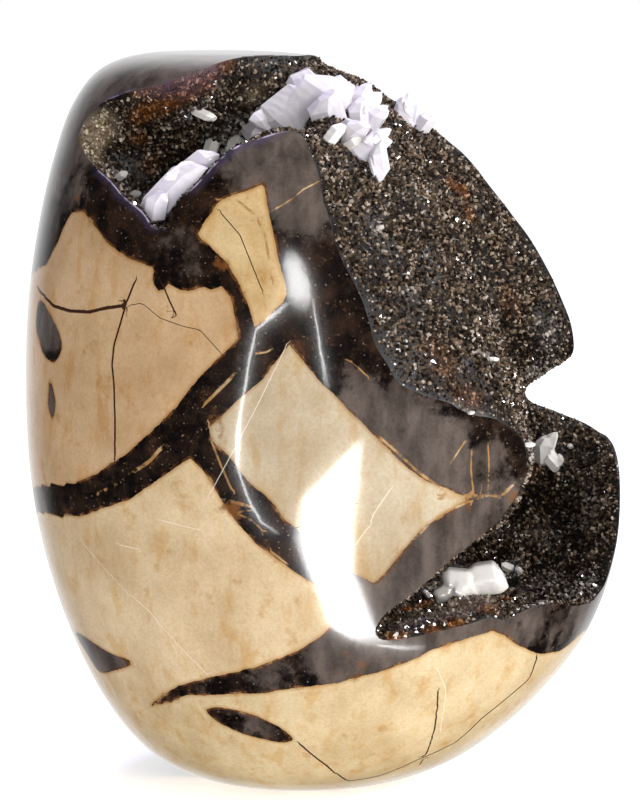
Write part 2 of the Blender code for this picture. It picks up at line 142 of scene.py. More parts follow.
# The top hollow in level slices: the left end, four along the back wall, the right end, two behind the
# front wall, three outside the stone and the left rim.
TOP_HOLLOW = [
    (111.0, [(-31, -19), (-29, -15), (-26, -12), (-22, -11), (-19, -13), (-18, -16), (-18, -19), (-20, -23),
             (-23, -25), (-26, -25), (-29, -24), (-31, -22)]),
    (115.0, [(-36, -19), (-33, -12), (-28, -8), (-23, -6), (-17, -8), (-14, -13), (-14, -20), (-20, -27),
             (-25, -30), (-29, -31), (-32, -29), (-35, -25)]),
    (119.0, [(-39, -19), (-36, -11), (-31, -5), (-24, -2), (-15, -5), (-10, -11), (-12, -21), (-28, -34),
             (-30.5, -62), (-32, -62), (-34, -60), (-34, -32)]),
    (122.0, [(-42, -19), (-38.5, -10), (-33, -4), (-24, 0), (-14, -3), (-7, -10), (-9, -21), (-26.5, -35),
             (-29, -62), (-33, -64), (-41, -58), (-38.5, -30)]),
    (126.0, [(-44.5, -19), (-41, -9), (-34, -4), (-24, 0), (-13, -2), (-5, -8), (-6, -21), (-22.5, -35),
             (-24.5, -62), (-32, -66), (-49, -54), (-42.5, -27)]),
    (130.0, [(-46.8, -17), (-42, -10), (-34, -6), (-24, -2), (-13, -3), (-4, -7), (-4, -21), (-19, -34),
             (-21, -62), (-32, -68), (-62, -44), (-48.5, -21)]),
    (133.0, [(-47, -15.5), (-42, -12), (-34, -9), (-24, -5), (-14, -4), (-4, -6), (-3, -21), (-14.5, -33),
             (-17, -64), (-32, -70), (-66, -40), (-54, -19)]),
    (136.0, [(-47.3, -16), (-42, -14), (-34, -12), (-25, -8), (-15, -6), (-4, -6), (0, -21), (-2, -35),
             (-5, -66), (-30, -70), (-66, -38), (-55, -19)]),
    (141.0, [(-47.6, -16), (-42, -19), (-34, -19), (-25, -16), (-15, -10), (-5, -5), (2, -20), (2, -36),
             (-2, -66), (-30, -70), (-66, -38), (-56, -19)]),
    (146.0, [(-48, -17), (-41, -23.5), (-33, -25.5), (-25, -24), (-18, -15), (-7, -7), (3, -20), (3, -36),
             (-2, -66), (-30, -70), (-66, -38), (-57, -19)]),
    (158.0, [(-50, -18), (-41, -25), (-33, -27), (-24, -26), (-17, -16), (-8, -6), (3, -20), (3, -36),
             (-2, -66), (-30, -70), (-66, -38), (-58, -20)]),
]

# The ledge that stays standing on the side hollow's floor, as corners of one lump.
LEDGE = [
    (10, -54, 30), (36, -50, 30), (38, -22, 30), (12, -28, 30),
    (10, -50, 36.5), (17, -49, 35.5), (24, -47, 36.8), (34, -42, 40.5),
    (13, -40, 39), (24, -36, 41), (36, -30, 42.5),
]

# The clear crystals, each cluster a list of tablets: centre, then width, thickness and length, then the
# turn about X, Y and Z in degrees. They stand where the frame's own crystals do, and their spurs are finer.
CRYSTALS = {
    "calcite_cluster": [
        ((-1.0, -12.5, 140.5), (12, 7, 13), (20, 35, 10)),
        ((-6.0, -12.0, 139.0), (10, 6, 12), (-15, 50, -20)),
        ((-11.0, -9.5, 136.0), (7, 6, 9), (10, 25, 30)),
        ((1.0, -17.0, 138.5), (8, 5, 9), (35, -20, 5)),
        ((3.5, -11.0, 141.5), (6, 5, 7), (-10, -25, 40)),
        ((-3.0, -8.0, 143.0), (9, 6, 7), (5, 70, 15)),
        ((7.5, -10.5, 140.0), (4.5, 3.5, 9), (15, 12, 0)),
        ((9.3, -8.2, 139.0), (4, 3.5, 8), (-12, 28, 20)),
        ((7.2, -13.4, 138.0), (4.5, 4, 7), (30, -8, 10)),
        ((10.2, -11.5, 137.0), (4.5, 4, 7), (20, 40, -15)),
    ],
    "calcite_curl": [
        ((6.0, -25.5, 135.0), (5, 3.5, 8), (40, 40, 0)),
        ((9.3, -26.5, 132.5), (4.5, 3.5, 8), (25, 55, 15)),
        ((11.3, -27.8, 129.8), (3.6, 3.2, 7.5), (10, -15, 20)),
    ],
    "calcite_blade": [
        ((-29.0, -35.8, 125.0), (6.5, 4.0, 15), (10, 46, -14)),
        ((-24.0, -35.3, 129.4), (5.5, 3.8, 9), (0, 52, -14)),
        ((-32.0, -35.5, 121.5), (5, 4.5, 7), (20, 15, -10)),
    ],
    "calcite_rim": [
        ((19.3, 21.5, 135.8), (4.6, 4.2, 9), (-8, 12, 10)),
        ((17.0, 19.5, 136.0), (3.6, 3.6, 7), (6, -25, 30)),
        ((21.5, 20.0, 134.2), (4.0, 3.6, 6), (12, 35, 0)),
    ],
    "calcite_wall": [
        ((47.2, 17.6, 65.2), (4.8, 3.6, 7.5), (25, 10, -30)),
        ((49.0, 17.2, 63.2), (3.4, 3.0, 5.0), (10, -40, -10)),
    ],
    "calcite_knob": [
        ((33.0, -30.2, 47.0), (7.5, 7.0, 7), (15, 80, 10)),
        ((27.4, -31.0, 46.2), (6.5, 6.5, 7), (-10, 95, -15)),
        ((24.8, -31.6, 44.4), (4.0, 4.0, 5.0), (20, 60, 0)),
    ],
}

LUMP_HEIGHT = 1.5      # how far the walls' rounded lumps stand out
LUMP_SPACING = 13.0
KNOT_HEIGHT = 0.5      # and the smaller knots on them
KNOT_SPACING = 5.0
GRIT_HEIGHT = 0.35     # and the bunches of crystals on those
GRIT_SPACING = 1.9
CALM_RIM = 8.0         # how deep under the polish the lumps reach their full height
CALM_SHARE = 0.2       # and how much of it they have at the polish

KNOB_GRAIN = 0.4       # the knob's crystals are dissolved round: the fineness of its skin, and how much
KNOB_WEAR = 9

# The photograph's viewpoint.
PHOTO_SIZE = (640, 800)
PHOTO_LENS = 150.0
PHOTO_SENSOR = 36.0
PHOTO_TARGET = (-0.74, 0.0, 78.53)
PHOTO_PLACE = (-0.74, -682.0, 174.38)

# The tan cells of the old mud, each with a tone from grey to warm, its outline where the photograph shows
# it, as points of the photograph, and its outline round the stone's sides and back, as degrees from the
# front towards the right and height.
CELLS = {
    # This cell's darker tone is partly its own and partly painted shade of the stone's upper side.
    "upper_left": (0.35, [
        (36, 487), (75, 484), (98, 473), (124, 456), (151, 432), (177, 406), (192, 385), (204, 373),
        (227, 350), (239, 338), (237, 327), (231, 297), (222, 285), (212, 290), (201, 286), (190, 291),
        (178, 289), (167, 283), (153, 267), (128, 258), (107, 242), (95, 226), (84, 211), (71, 212),
        (57, 244), (46, 265),
    ], [(-86, 104), (-96, 98), (-110, 88), (-119, 74), (-108, 62), (-94, 59)]),
    "upper_middle": (0.75, [
        (264, 184), (240, 193), (220, 201), (204, 222), (198, 235), (212, 248), (226, 261), (238, 281),
        (250, 309), (254, 327), (268, 318), (283, 301), (287, 292), (279, 262), (273, 234), (268, 208),
    ], []),
    "middle": (0.1, [
        (209, 428), (232, 405), (261, 381), (289, 344), (319, 380), (347, 408), (376, 437), (402, 463),
        (421, 478), (447, 489), (469, 499), (441, 515), (421, 530), (404, 549), (387, 571), (375, 584),
        (354, 573), (330, 556), (300, 532), (285, 520), (271, 500), (246, 480), (234, 462), (212, 440),
    ], []),
    "lower_left": (0.6, [
        (32, 501), (46, 513), (81, 516), (106, 507), (130, 499), (151, 485), (175, 467), (191, 458),
        (200, 467), (212, 483), (222, 501), (238, 524), (257, 544), (285, 565), (314, 585), (340, 608),
        (328, 630), (302, 649), (255, 667), (208, 678), (177, 686), (151, 704),
    ], [(-60, 8), (-80, 8), (-98, 14), (-112, 26), (-112, 42), (-94, 54)]),
    "foot": (0.85, [
        (120, 690), (150, 706), (187, 695), (229, 694), (255, 694), (294, 688), (330, 684), (381, 671),
        (408, 662), (434, 649), (465, 639), (491, 631), (504, 635), (521, 647), (541, 654), (560, 651),
        (573, 641), (584, 630),
    ], [(92, 30), (108, 24), (119, 12), (112, -2), (60, -2), (0, -2), (-70, -2), (-84, 8)]),
    "back_left": (0.4, [], [
        (-127, 74), (-123, 92), (-114, 106), (-120, 120), (-142, 127), (-160, 121), (-173, 104), (-176, 86),
        (-164, 74), (-146, 67),
    ]),
    "back_left_low": (0.7, [], [
        (-122, 36), (-122, 54), (-138, 59), (-158, 61), (-172, 56), (-180, 40), (-174, 20), (-156, 8),
        (-136, 6), (-124, 16),
    ]),
    "back_right": (0.25, [], [
        (141, 88), (135, 100), (138, 114), (150, 123), (166, 119), (176, 103), (174, 86), (158, 79),
    ]),
    "back_right_low": (0.55, [], [
        (107, 34), (101, 48), (104, 59), (122, 64), (146, 66), (166, 68), (172, 56), (160, 40), (140, 32),
        (122, 27),
    ]),
    "back_foot": (0.8, [], [
        (127, 12), (134, 20), (152, 30), (170, 34), (181, 22), (196, 4), (190, -2), (150, -2), (124, -2),
    ]),
    "top_back": (0.3, [], [(184, 130), (164, 130), (150, 134), (160, 141), (182, 144), (208, 141),
                           (212, 134)]),
}

BEHIND_GROWTH = 1.6    # how much wider the cells behind are than their outlines
WANDER = (3.5, 3.0)    # how far their sides wander, in degrees and in height
WANDER_SPACING = (8.0, 6.0)      # and over what length, in the same two
SIDE_PARTS = (0.0, 0.17, 0.33, 0.5, 0.67, 0.83)     # where points are set along a side, as shares of it

# Grey inlets in the tan cells, as points of the photograph.
INLETS = [
    [(40, 300), (49, 312), (58, 330), (62, 348), (54, 362), (45, 356), (38, 338), (36, 318)],
    [(50, 381), (55, 400), (53, 419), (48, 405)],
    [(155, 268), (167, 283), (160, 291), (153, 281)],
    [(76, 632), (106, 651), (131, 662), (117, 670), (100, 672), (88, 655)],
    [(208, 709), (226, 708), (255, 716), (276, 725), (293, 739), (279, 742), (255, 737), (229, 728),
     (211, 717)],
]

# Thin brown cracks in the cells, and cream and rusty seams in the veins: width, then points as above.
CRACKS = [
    (0.7, [(38, 288), (54, 306), (70, 311), (89, 312), (106, 308), (121, 306)], []),
    (0.45, [(135, 281), (126, 304), (120, 325), (114, 345), (112, 365), (114, 384), (115, 420),
            (115, 458)], []),
    (0.35, [(163, 285), (170, 302), (176, 314)], []),
    (0.2, [(220, 212), (240, 235), (250, 260), (262, 290)], []),
    (0.15, [(126, 306), (142, 303), (160, 318), (182, 326), (200, 330), (220, 352)], []),
    (0.4, [(300, 744), (326, 765), (349, 781), (378, 776), (417, 760), (456, 742), (482, 718), (508, 697),
           (529, 679), (537, 657)], []),
    (0.35, [(438, 692), (435, 726), (427, 752), (420, 764)], []),
    (0.2, [(295, 528), (325, 519), (353, 505)], []),
    (0.5, [], [(-132, 98), (-148, 94), (-160, 98), (-170, 92)]),
    (0.4, [], [(-150, 92), (-146, 80), (-152, 70)]),
    (0.6, [], [(-128, 40), (-142, 34), (-152, 22), (-148, 10)]),
    (0.5, [], [(142, 106), (154, 102), (164, 92), (166, 84)]),
    (0.7, [], [(108, 50), (124, 46), (140, 50), (156, 46)]),
    (0.45, [], [(-86, 46), (-96, 36), (-94, 22), (-104, 14)]),
    (0.45, [], [(-92, 92), (-100, 80), (-96, 66)]),
    (0.4, [], [(96, 20), (84, 12), (90, 2)]),
    (0.5, [], [(140, 10), (154, 14), (170, 10)]),
]
SEAMS = [
    (0.5, [(220, 200), (237, 200), (255, 215), (265, 235), (270, 265), (272, 280)], []),
    (0.7, [(98, 494), (118, 484), (138, 469), (150, 461), (161, 448), (171, 441), (182, 435)], []),
    (0.6, [(205, 404), (216, 393), (226, 383), (240, 369)], []),
    (0.4, [(209, 424), (211, 440), (222, 468), (232, 490)], []),
    (0.3, [(201, 222), (224, 227), (245, 224), (262, 216), (279, 207), (292, 199), (304, 189),
           (316, 183)], []),
    (0.6, [(224, 500), (234, 502), (248, 506)], []),
    (0.4, [(300, 575), (320, 590), (340, 605)], []),
    (0.7, [(442, 498), (452, 496), (464, 497), (477, 498), (490, 494), (500, 497), (512, 486)], []),
    (0.35, [(472, 440), (471, 470), (474, 496)], []),
    (0.35, [(487, 430), (489, 462), (488, 492)], []),
    (0.35, [(446, 470), (458, 452), (466, 440)], []),
    (0.4, [(340, 604), (366, 626), (378, 634)], []),
    (0.5, [(383, 440), (400, 455), (418, 472), (440, 487), (450, 493)], []),
    (0.45, [(466, 503), (450, 510), (438, 517), (426, 527), (414, 540)], []),
    (0.3, [(330, 352), (352, 362), (366, 375)], []),
    (0.35, [(280, 344), (268, 352), (254, 354)], []),
    (0.35, [(238, 514), (252, 520), (262, 530)], []),
    (0.3, [(272, 552), (290, 566), (300, 574)], []),
    (0.6, [], [(-118, 58), (-130, 63), (-146, 63), (-160, 67), (-176, 70), (170, 74)]),
    (0.5, [], [(-120, 112), (-119, 100), (-122, 84), (-122, 70)]),
    (0.6, [], [(128, 70), (146, 72), (164, 74), (176, 72)]),
    (0.5, [], [(-120, 8), (-118, 26), (-117, 44), (-118, 56)]),
    (0.5, [], [(178, 118), (179, 96), (180, 78)]),
    (0.5, [], [(122, 22), (140, 26), (160, 36), (174, 44)]),
]

# Bright hairline scratches in the polish, by the same rule.
SCRATCHES = [
    (0.16, [(287, 345), (262, 396), (236, 446), (210, 494)], []),
    (0.16, [(83, 543), (150, 612), (205, 672)], []),
    (0.2, [(391, 488), (371, 518)], []),
    (0.18, [(369, 526), (356, 544)], []),
    (0.16, [(120, 545), (138, 549)], []),
    (0.16, [(437, 668), (446, 690), (440, 730)], []),
    (0.14, [(160, 520), (200, 530)], []),
    (0.16, [], [(-140, 50), (-150, 34), (-158, 22)]),
    (0.16, [], [(150, 112), (158, 100), (162, 90)]),
]

# Where the veins are clear grey instead of near black: points of the photograph, radius and strength.
GREY_VEINS = [
    (290, 158, 11, 1.0), (303, 195, 9, 0.8), (262, 150, 7, 0.8), (240, 170, 5, 0.5), (178, 255, 7, 0.4),
    (185, 278, 6, 0.3), (42, 500, 3, 0.6), (50, 325, 5, 1.0), (52, 400, 4, 1.0), (100, 652, 8, 1.0),
    (250, 724, 8, 0.5), (345, 385, 6, 0.5), (362, 410, 7, 0.8), (392, 425, 8, 0.8), (430, 455, 9, 0.9),
    (480, 470, 8, 0.6), (500, 500, 6, 0.7), (450, 520, 8, 1.0), (420, 560, 8, 1.0), (392, 598, 8, 1.0),
    (382, 625, 6, 1.0), (350, 655, 9, 0.9), (440, 645, 9, 1.0), (480, 625, 8, 1.0), (520, 625, 8, 0.7),
    (560, 630, 8, 0.5), (590, 600, 8, 0.8), (180, 62, 14, 1.0), (120, 80, 12, 1.0), (80, 130, 9, 0.9),
    (66, 185, 9, 0.6), (250, 60, 12, 1.0), (310, 68, 10, 0.9), (320, 85, 6, 0.6), (60, 230, 6, 0.3),
    (270, 676, 7, 0.5), (210, 684, 6, 0.4),
]

# Rust that soaked into the stone and the crystals, by the same rule.
RUST = [
    (231, 508, 2.6, 0.9), (78, 200, 1.6, 0.7), (460, 492, 6, 0.5), (505, 497, 4, 0.6), (224, 262, 2.4, 0.7),
    (246, 300, 3, 0.6), (205, 395, 4, 0.5), (160, 462, 4, 0.4), (280, 575, 4, 0.4), (385, 520, 5, 0.3),
    (350, 670, 5, 0.6), (300, 676, 5, 0.5), (500, 560, 4, 0.2), (212, 430, 3, 0.7), (130, 500, 4, 0.35),
]

# The same two round the sides and back: degrees, height, radius and strength.
GREY_BEHIND = [
    (-100, 130, 15, 0.75), (-130, 62, 12, 0.6), (-152, 64, 14, 0.5), (-120, 100, 11, 0.6), (180, 96, 12, 0.7),
    (180, 70, 13, 0.6), (150, 71, 12, 0.65), (120, 68, 11, 0.5), (-120, 30, 12, 0.55), (125, 20, 12, 0.6),
    (165, 40, 10, 0.7), (-178, 114, 12, 0.5), (140, 126, 15, 0.7), (170, 128, 13, 0.55), (100, 50, 12, 0.75),
    (95, 62, 9, 0.6),
]
RUST_BEHIND = [
    (-130, 63, 4, 0.6), (-121, 88, 3, 0.6), (170, 71, 4, 0.6), (128, 66, 3, 0.6), (-176, 50, 3, 0.5),
    (150, 26, 3, 0.5),
]

# The painted lilac sheen, a reflection of lilac light, along the pit's rim, by the same rule as the front's.
LILAC_SHEEN = [
    (250, 140, 5, 1.0), (228, 155, 4, 1.0), (205, 182, 3, 0.7), (150, 215, 3, 1.0), (138, 208, 3, 1.0),
    (120, 192, 3, 1.0), (106, 170, 3, 0.9), (112, 100, 4, 0.5),
]

# What tints and coarsens the druse: points of the photograph, radius in millimetres and strength.
LIMONITE = [
    (144, 83, 2.6, 0.9), (160, 84, 2.6, 1.0), (176, 83, 2.6, 1.0), (192, 82, 2.6, 1.0), (206, 79, 2.6, 0.9),
    (213, 70, 2.2, 0.9), (218, 60, 2.2, 0.9), (226, 62, 2.0, 0.7), (146, 111, 2.2, 0.8),
    (160, 106, 2.4, 0.9), (171, 98, 2.6, 0.9), (185, 91, 2.6, 0.9), (139, 118, 2.0, 0.6),
    (140, 138, 1.6, 0.5), (150, 165, 2, 0.3), (390, 618, 1.6, 0.8), (408, 610, 1.6, 0.9),
    (425, 604, 1.6, 0.9), (446, 600, 1.6, 0.8), (470, 592, 1.4, 0.7), (455, 624, 1.6, 1.0),
    (433, 630, 1.6, 0.9), (397, 636, 1.8, 1.0), (488, 608, 1.6, 0.9), (505, 600, 1.4, 0.7),
    (462, 190, 1.6, 0.8), (452, 184, 1.6, 0.6), (470, 215, 1.6, 0.5), (205, 170, 2, 0.3),
    (482, 440, 1.4, 0.5), (468, 400, 3, 0.35), (440, 360, 4, 0.2), (530, 470, 2, 0.4), (510, 300, 3, 0.2),
]
PALE_LUMPS = [
    (402, 622, 2.4, 0.5), (420, 616, 2.4, 0.5), (440, 612, 2.4, 0.5), (460, 606, 2.4, 0.5),
    (482, 598, 2.4, 0.4), (98, 132, 3.5, 1.0), (92, 150, 3, 0.9), (102, 122, 2.6, 0.7), (88, 158, 2, 0.6),
    (255, 95, 2.4, 0.4),
]
PURPLE = [
    (182, 68, 4.5, 1.0), (200, 64, 4, 0.8), (165, 74, 4, 0.9), (150, 80, 3, 0.6), (405, 627, 2.5, 0.7),
    (420, 622, 2.5, 0.8), (440, 618, 2.5, 0.8), (460, 611, 2.5, 0.8), (480, 600, 2, 0.6),
]
FROST = [
    (110, 172, 2.0, 0.6), (122, 186, 2.0, 0.7), (138, 200, 2, 0.7), (152, 212, 2, 0.8), (165, 216, 2, 0.6),
    (404, 396, 2, 0.6), (420, 404, 2, 0.8), (442, 410, 2, 0.8), (462, 414, 2, 1.0), (482, 422, 2, 0.8),
    (500, 434, 2, 0.5), (488, 358, 1.4, 1.0), (493, 320, 2, 0.4), (376, 225, 1.5, 0.6), (388, 245, 1.5, 0.5),
    (412, 296, 1.5, 0.6), (418, 304, 1.3, 0.5), (530, 450, 2.2, 0.8), (545, 585, 4, 0.3), (565, 600, 4, 0.6),
    (580, 590, 4, 0.6), (548, 605, 4, 0.6), (512, 570, 2.2, 0.8), (540, 368, 3, 0.5), (552, 335, 3, 0.4),
    (590, 505, 4, 0.2), (430, 590, 2, 0.5), (195, 112, 3, 0.5), (220, 140, 3, 0.5), (235, 130, 3, 0.6),
]


def between(rows, steps):
    """The rows of a table with smooth rows added between them, on a curve through them all."""
    ends = [[2 * a - b for a, b in zip(rows[0], rows[1])], [2 * a - b for a, b in zip(rows[-1], rows[-2])]]
    line = [ends[0], *rows, ends[1]]
    made = []
    for i in range(1, len(line) - 2):
        for k in range(steps):
            t = k / steps
            made.append([
                0.5 * (2 * b + (c - a) * t + (2 * a - 5 * b + 4 * c - d) * t * t
                       + (3 * b - a - 3 * c + d) * t ** 3)
                for a, b, c, d in zip(*line[i - 1:i + 3])
            ])
    made.append(list(rows[-1]))
    return made


def centre_shift():
    """How far the frame was moved from the tables' own origin, in metres."""
    low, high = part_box("nodule")
    return Vector((low[0] - EGG_LEFT * MM, (low[1] + high[1]) / 2, 0.0))


SHIFT = centre_shift()
PROFILE = np.array(between(EGG_SLICES, 24))


def new_object(name, corners, faces):
    """An object from points in the tables' millimetres and the faces between them."""
    mesh = bpy.data.meshes.new(name)
    mesh.from_pydata([Vector(c) * MM + SHIFT for c in corners], [], faces)
    piece = bpy.data.objects.new(name, mesh)
    bpy.context.scene.collection.objects.link(piece)
    return piece


def outward(piece):
    """Turns every face of a closed piece outwards."""
    work = bmesh.new()
    work.from_mesh(piece.data)
    bmesh.ops.recalc_face_normals(work, faces=work.faces)
    work.to_mesh(piece.data)
    work.free()
    return piece


def loft(name, rings, top_point=None):
    """A closed skin over rings of points, one above the other, with flat ends or a point on top."""
    sides = len(rings[0])
    corners = [p for ring in rings for p in ring]
    faces = [tuple(range(sides))]
    for level in range(len(rings) - 1):
        low = level * sides
        for k in range(sides):
            right = (k + 1) % sides
            faces.append((low + k, low + right, low + sides + right, low + sides + k))
    last = (len(rings) - 1) * sides
    if top_point is None:
        faces.append(tuple(last + k for k in range(sides)))
    else:
        corners.append(top_point)
        faces += [(last + k, last + (k + 1) % sides, len(corners) - 1) for k in range(sides)]
    return outward(new_object(name, corners, faces))


def baked(piece):
    """Gives the piece the mesh that its modifiers make."""
    bpy.context.view_layer.update()
    made = bpy.data.meshes.new_from_object(piece.evaluated_get(bpy.context.evaluated_depsgraph_get()))
    piece.modifiers.clear()
    piece.data = made
    return piece


def boolean(piece, tool, operation, solver="EXACT"):
    """Joins, cuts or crosses a piece with another solid."""
    step = piece.modifiers.new(operation, "BOOLEAN")
    step.operation = operation
    step.solver = solver
    step.object = tool
    return baked(piece)


def remove(*pieces):
    for piece in pieces:
        bpy.data.objects.remove(piece)


def hull(name, corners):
    """The smallest solid with flat faces round some points."""
    work = bmesh.new()
    for c in corners:
        work.verts.new(Vector(c) * MM + SHIFT)
    made = bmesh.ops.convex_hull(work, input=work.verts)
    bmesh.ops.delete(work, geom=[v for v in made["geom_interior"] if v.is_valid], context="VERTS")
    bmesh.ops.recalc_face_normals(work, faces=work.faces)
    piece = new_object(name, [], [])
    work.to_mesh(piece.data)
    work.free()
    return piece


def as_arrays(mesh):
    """A mesh's corner places and normals, in metres, as two arrays."""
    places = np.empty(len(mesh.vertices) * 3)
    normals = np.empty(len(mesh.vertices) * 3)
    mesh.vertices.foreach_get("co", places)
    mesh.vertices.foreach_get("normal", normals)
    return places.reshape(-1, 3), normals.reshape(-1, 3)


def egg_section(height):
    """The middle, half width and half depth of the egg at some heights, in the tables' millimetres."""
    left, right, depth = (np.interp(height, PROFILE[:, 0], PROFILE[:, k]) for k in (1, 2, 3))
    return (left + right) / 2, (right - left) / 2, depth


def egg(sides, levels):
    """The polished outside, with its slices evenly spaced along the outline."""
    half = (PROFILE[:, 2] - PROFILE[:, 1]) / 2
    run = np.concatenate([[0.0], np.cumsum(np.hypot(np.diff(half), np.diff(PROFILE[:, 0])))])
    heights = np.interp(np.linspace(0, run[-1], levels), run, PROFILE[:, 0])
    turns = np.linspace(0, 2 * math.pi, sides, endpoint=False)
    rings = []
    for height in heights[:-1]:
        middle, width, depth = egg_section(height)
        rings.append([(middle + width * math.cos(a), depth * math.sin(a), height) for a in turns])
    top = PROFILE[-1]
    return loft("polished_egg", rings, top_point=(top[1], 0.0, top[0]))


SLICE_STEP = 0.3       # over what height the egg's slope is measured, in millimetres
LEAST_HALF = 0.5       # the least half width of a slice that it is measured on


def egg_normals(places):
    """The egg's own outward direction at points on it."""
    spots = (places - np.array(SHIFT)) / MM
    middle, width, depth = egg_section(spots[:, 2])
    low, high = egg_section(spots[:, 2] - SLICE_STEP), egg_section(spots[:, 2] + SLICE_STEP)

    def level(section):
        return ((spots[:, 0] - section[0]) / np.maximum(section[1], LEAST_HALF)) ** 2 \
            + (spots[:, 1] / np.maximum(section[2], LEAST_HALF)) ** 2

    slope = np.stack([
        2 * (spots[:, 0] - middle) / np.maximum(width, LEAST_HALF) ** 2,
        2 * spots[:, 1] / np.maximum(depth, LEAST_HALF) ** 2,
        (level(high) - level(low)) / (2 * SLICE_STEP),
    ], axis=1)
    return slope / np.maximum(np.linalg.norm(slope, axis=1, keepdims=True), 1e-9)


def lumps(point):
    """How far the wall stands out at a point, in millimetres: lumps, knots and bunches of crystals."""
    large = noise.noise(point / (LUMP_SPACING * MM))
    small = noise.noise(point / (KNOT_SPACING * MM) + Vector((7.0, 3.0, 5.0)))
    grit = noise.noise(point / (GRIT_SPACING * MM) + Vector((1.0, 9.0, 4.0)))
    return LUMP_HEIGHT * (2 * abs(large) - 0.5) + KNOT_HEIGHT * small + GRIT_HEIGHT * grit


def evened(piece, grain, rounds=2):
    """Gives a piece an even, fine skin, and wears it by some rounds of smoothing."""
    step = piece.modifiers.new("grain", "REMESH")
    step.mode = "VOXEL"
    step.voxel_size = grain * MM
    smooth = piece.modifiers.new("smooth", "SMOOTH")
    smooth.factor = 0.5
    smooth.iterations = rounds
    return baked(piece)


def hollow(egg_tree, grain, inset):
    """The air in the stone, with lumpy sides that stand in from the frame's wall by the inset."""
    air = loft("air", [[(x, y, height) for x, y in ring] for height, ring in SIDE_HOLLOW])
    ledge = hull("ledge", LEDGE)
    boolean(air, ledge, "DIFFERENCE")
    upper = loft("upper_air", [[(x, y, height) for x, y in ring] for height, ring in TOP_HOLLOW])
    boolean(air, upper, "UNION")
    rough = egg(*ROUGH_EGG)
    middle = Vector((0, 0, AIR_TRIM_HEIGHT * MM))
    rough.data.transform(Matrix.Translation(middle) @ Matrix.Scale(AIR_TRIM, 4) @ Matrix.Translation(-middle))
    boolean(air, rough, "INTERSECT")
    remove(ledge, upper, rough)
    evened(air, grain)
    places, normals = as_arrays(air.data)
    moves = []
    for place in places:
        depth = egg_tree.find_nearest(place)[3] / MM
        moves.append(lumps(Vector(place) - SHIFT) * min(1.0, CALM_SHARE + depth / CALM_RIM) + inset)
    places -= normals * (np.array(moves) * MM)[:, None]
    air.data.vertices.foreach_set("co", places.ravel())
    air.data.update()
    return evened(air, grain)


def tree_of(piece):
    """A piece's own faces, for casting rays at it."""
    corners = [v.co.copy() for v in piece.data.vertices]
    return BVHTree.FromPolygons(corners, [tuple(face.vertices) for face in piece.data.polygons])


def sight(pixel):
    """Where the photograph's ray through a pixel starts, and the way it goes."""
    start = Vector(PHOTO_PLACE) * MM
    turn = (Vector(PHOTO_TARGET) * MM - start).to_track_quat("-Z", "Y")
    scale = PHOTO_SENSOR / PHOTO_LENS / max(PHOTO_SIZE)
    right = (pixel[0] - PHOTO_SIZE[0] / 2) * scale
    up = (PHOTO_SIZE[1] / 2 - pixel[1]) * scale
    return start, (turn @ Vector((right, up, -1.0))).normalized()


def seen_on(tree, pixel):
    """The point of a surface that the photograph shows at a pixel, or the nearest one to that ray."""
    start, way = sight(pixel)
    place = tree.ray_cast(start, way)[0]
    if place is None:
        place = tree.find_nearest(start + way * start.length)[0]
    return place


def round_at(degrees, height):
    """The point of the egg at an angle from the front towards the right, and a height."""
    turn = math.radians(degrees)
    middle, width, depth = egg_section(height)
    reach = 1 / math.hypot(math.sin(turn) / width, math.cos(turn) / depth)
    spot = (middle + math.sin(turn) * reach, -math.cos(turn) * reach, height)
    return Vector(spot) * MM + SHIFT


def traced(tree, pixels, rounds):
    """An outline's points on the egg, from the two ways of giving them."""
    return np.array([seen_on(tree, p) for p in pixels] + [round_at(*r) for r in rounds])


def rounded(outline):
    """An outline given by few points, with the curve through them."""
    return between([outline[-1], *outline, outline[0], outline[1]], 6)[6:-7]


def weathered(rounds):
    """An outline of degrees and heights, whose sides are made to wander a little between its corners."""
    made = []
    for start, end in zip(rounds, rounds[1:] + rounds[:1]):
        for share in SIDE_PARTS:
            degrees, height = (a + (b - a) * share for a, b in zip(start, end))
            spot = Vector((degrees / WANDER_SPACING[0], height / WANDER_SPACING[1], 0.0))
            turned = degrees + WANDER[0] * noise.noise(spot)
            raised = height + WANDER[1] * noise.noise(spot + Vector((5, 5, 5)))
            made.append((turned, raised))
    return made


def distance_to(places, outline):
    """The distance in millimetres of many points to a closed outline."""
    nearest = np.full(len(places), np.inf)
    for a, b in zip(outline, np.roll(outline, -1, axis=0)):
        run = b - a
        share = np.clip((places - a) @ run / max(run @ run, 1e-12), 0, 1)
        nearest = np.minimum(nearest, np.linalg.norm(places - a - share[:, None] * run, axis=1))
    return nearest / MM


def beside(places, line):
    """The distance in millimetres of many points to a line, and again, below zero on its one side."""
    core = np.array(SHIFT) + np.array(EGG_CORE) * MM
    nearest = np.full(len(places), np.inf)
    signed = np.zeros(len(places))
    for a, b in zip(line[:-1], line[1:]):
        run = b - a
        share = np.clip((places - a) @ run / max(run @ run, 1e-12), 0, 1)
        far = np.linalg.norm(places - a - share[:, None] * run, axis=1) / MM
        side = np.sign(np.einsum("ij,ij->i", np.cross(places - a, run), places - core))
        closer = far < nearest
        nearest = np.where(closer, far, nearest)
        signed = np.where(closer, far * side, signed)
    return nearest, signed


NEARLY_UP = (0.0, 0.13, 1.0)     # a direction that no outline's middle lies in


def chart(places, middle):
    """Points flattened round a middle one: their direction and angle from it, as on a sky map."""
    core = np.array(SHIFT) + np.array(EGG_CORE) * MM
    ahead = (middle - core) / np.linalg.norm(middle - core)
    aside = np.cross(ahead, NEARLY_UP)
    aside /= np.linalg.norm(aside)
    upward = np.cross(aside, ahead)
    rays = places - core
    rays = rays / np.linalg.norm(rays, axis=1, keepdims=True)
    angle = np.arccos(np.clip(rays @ ahead, -1, 1))
    flat = np.stack([rays @ aside, rays @ upward], axis=1)
    return flat / np.maximum(np.linalg.norm(flat, axis=1, keepdims=True), 1e-9) * angle[:, None]


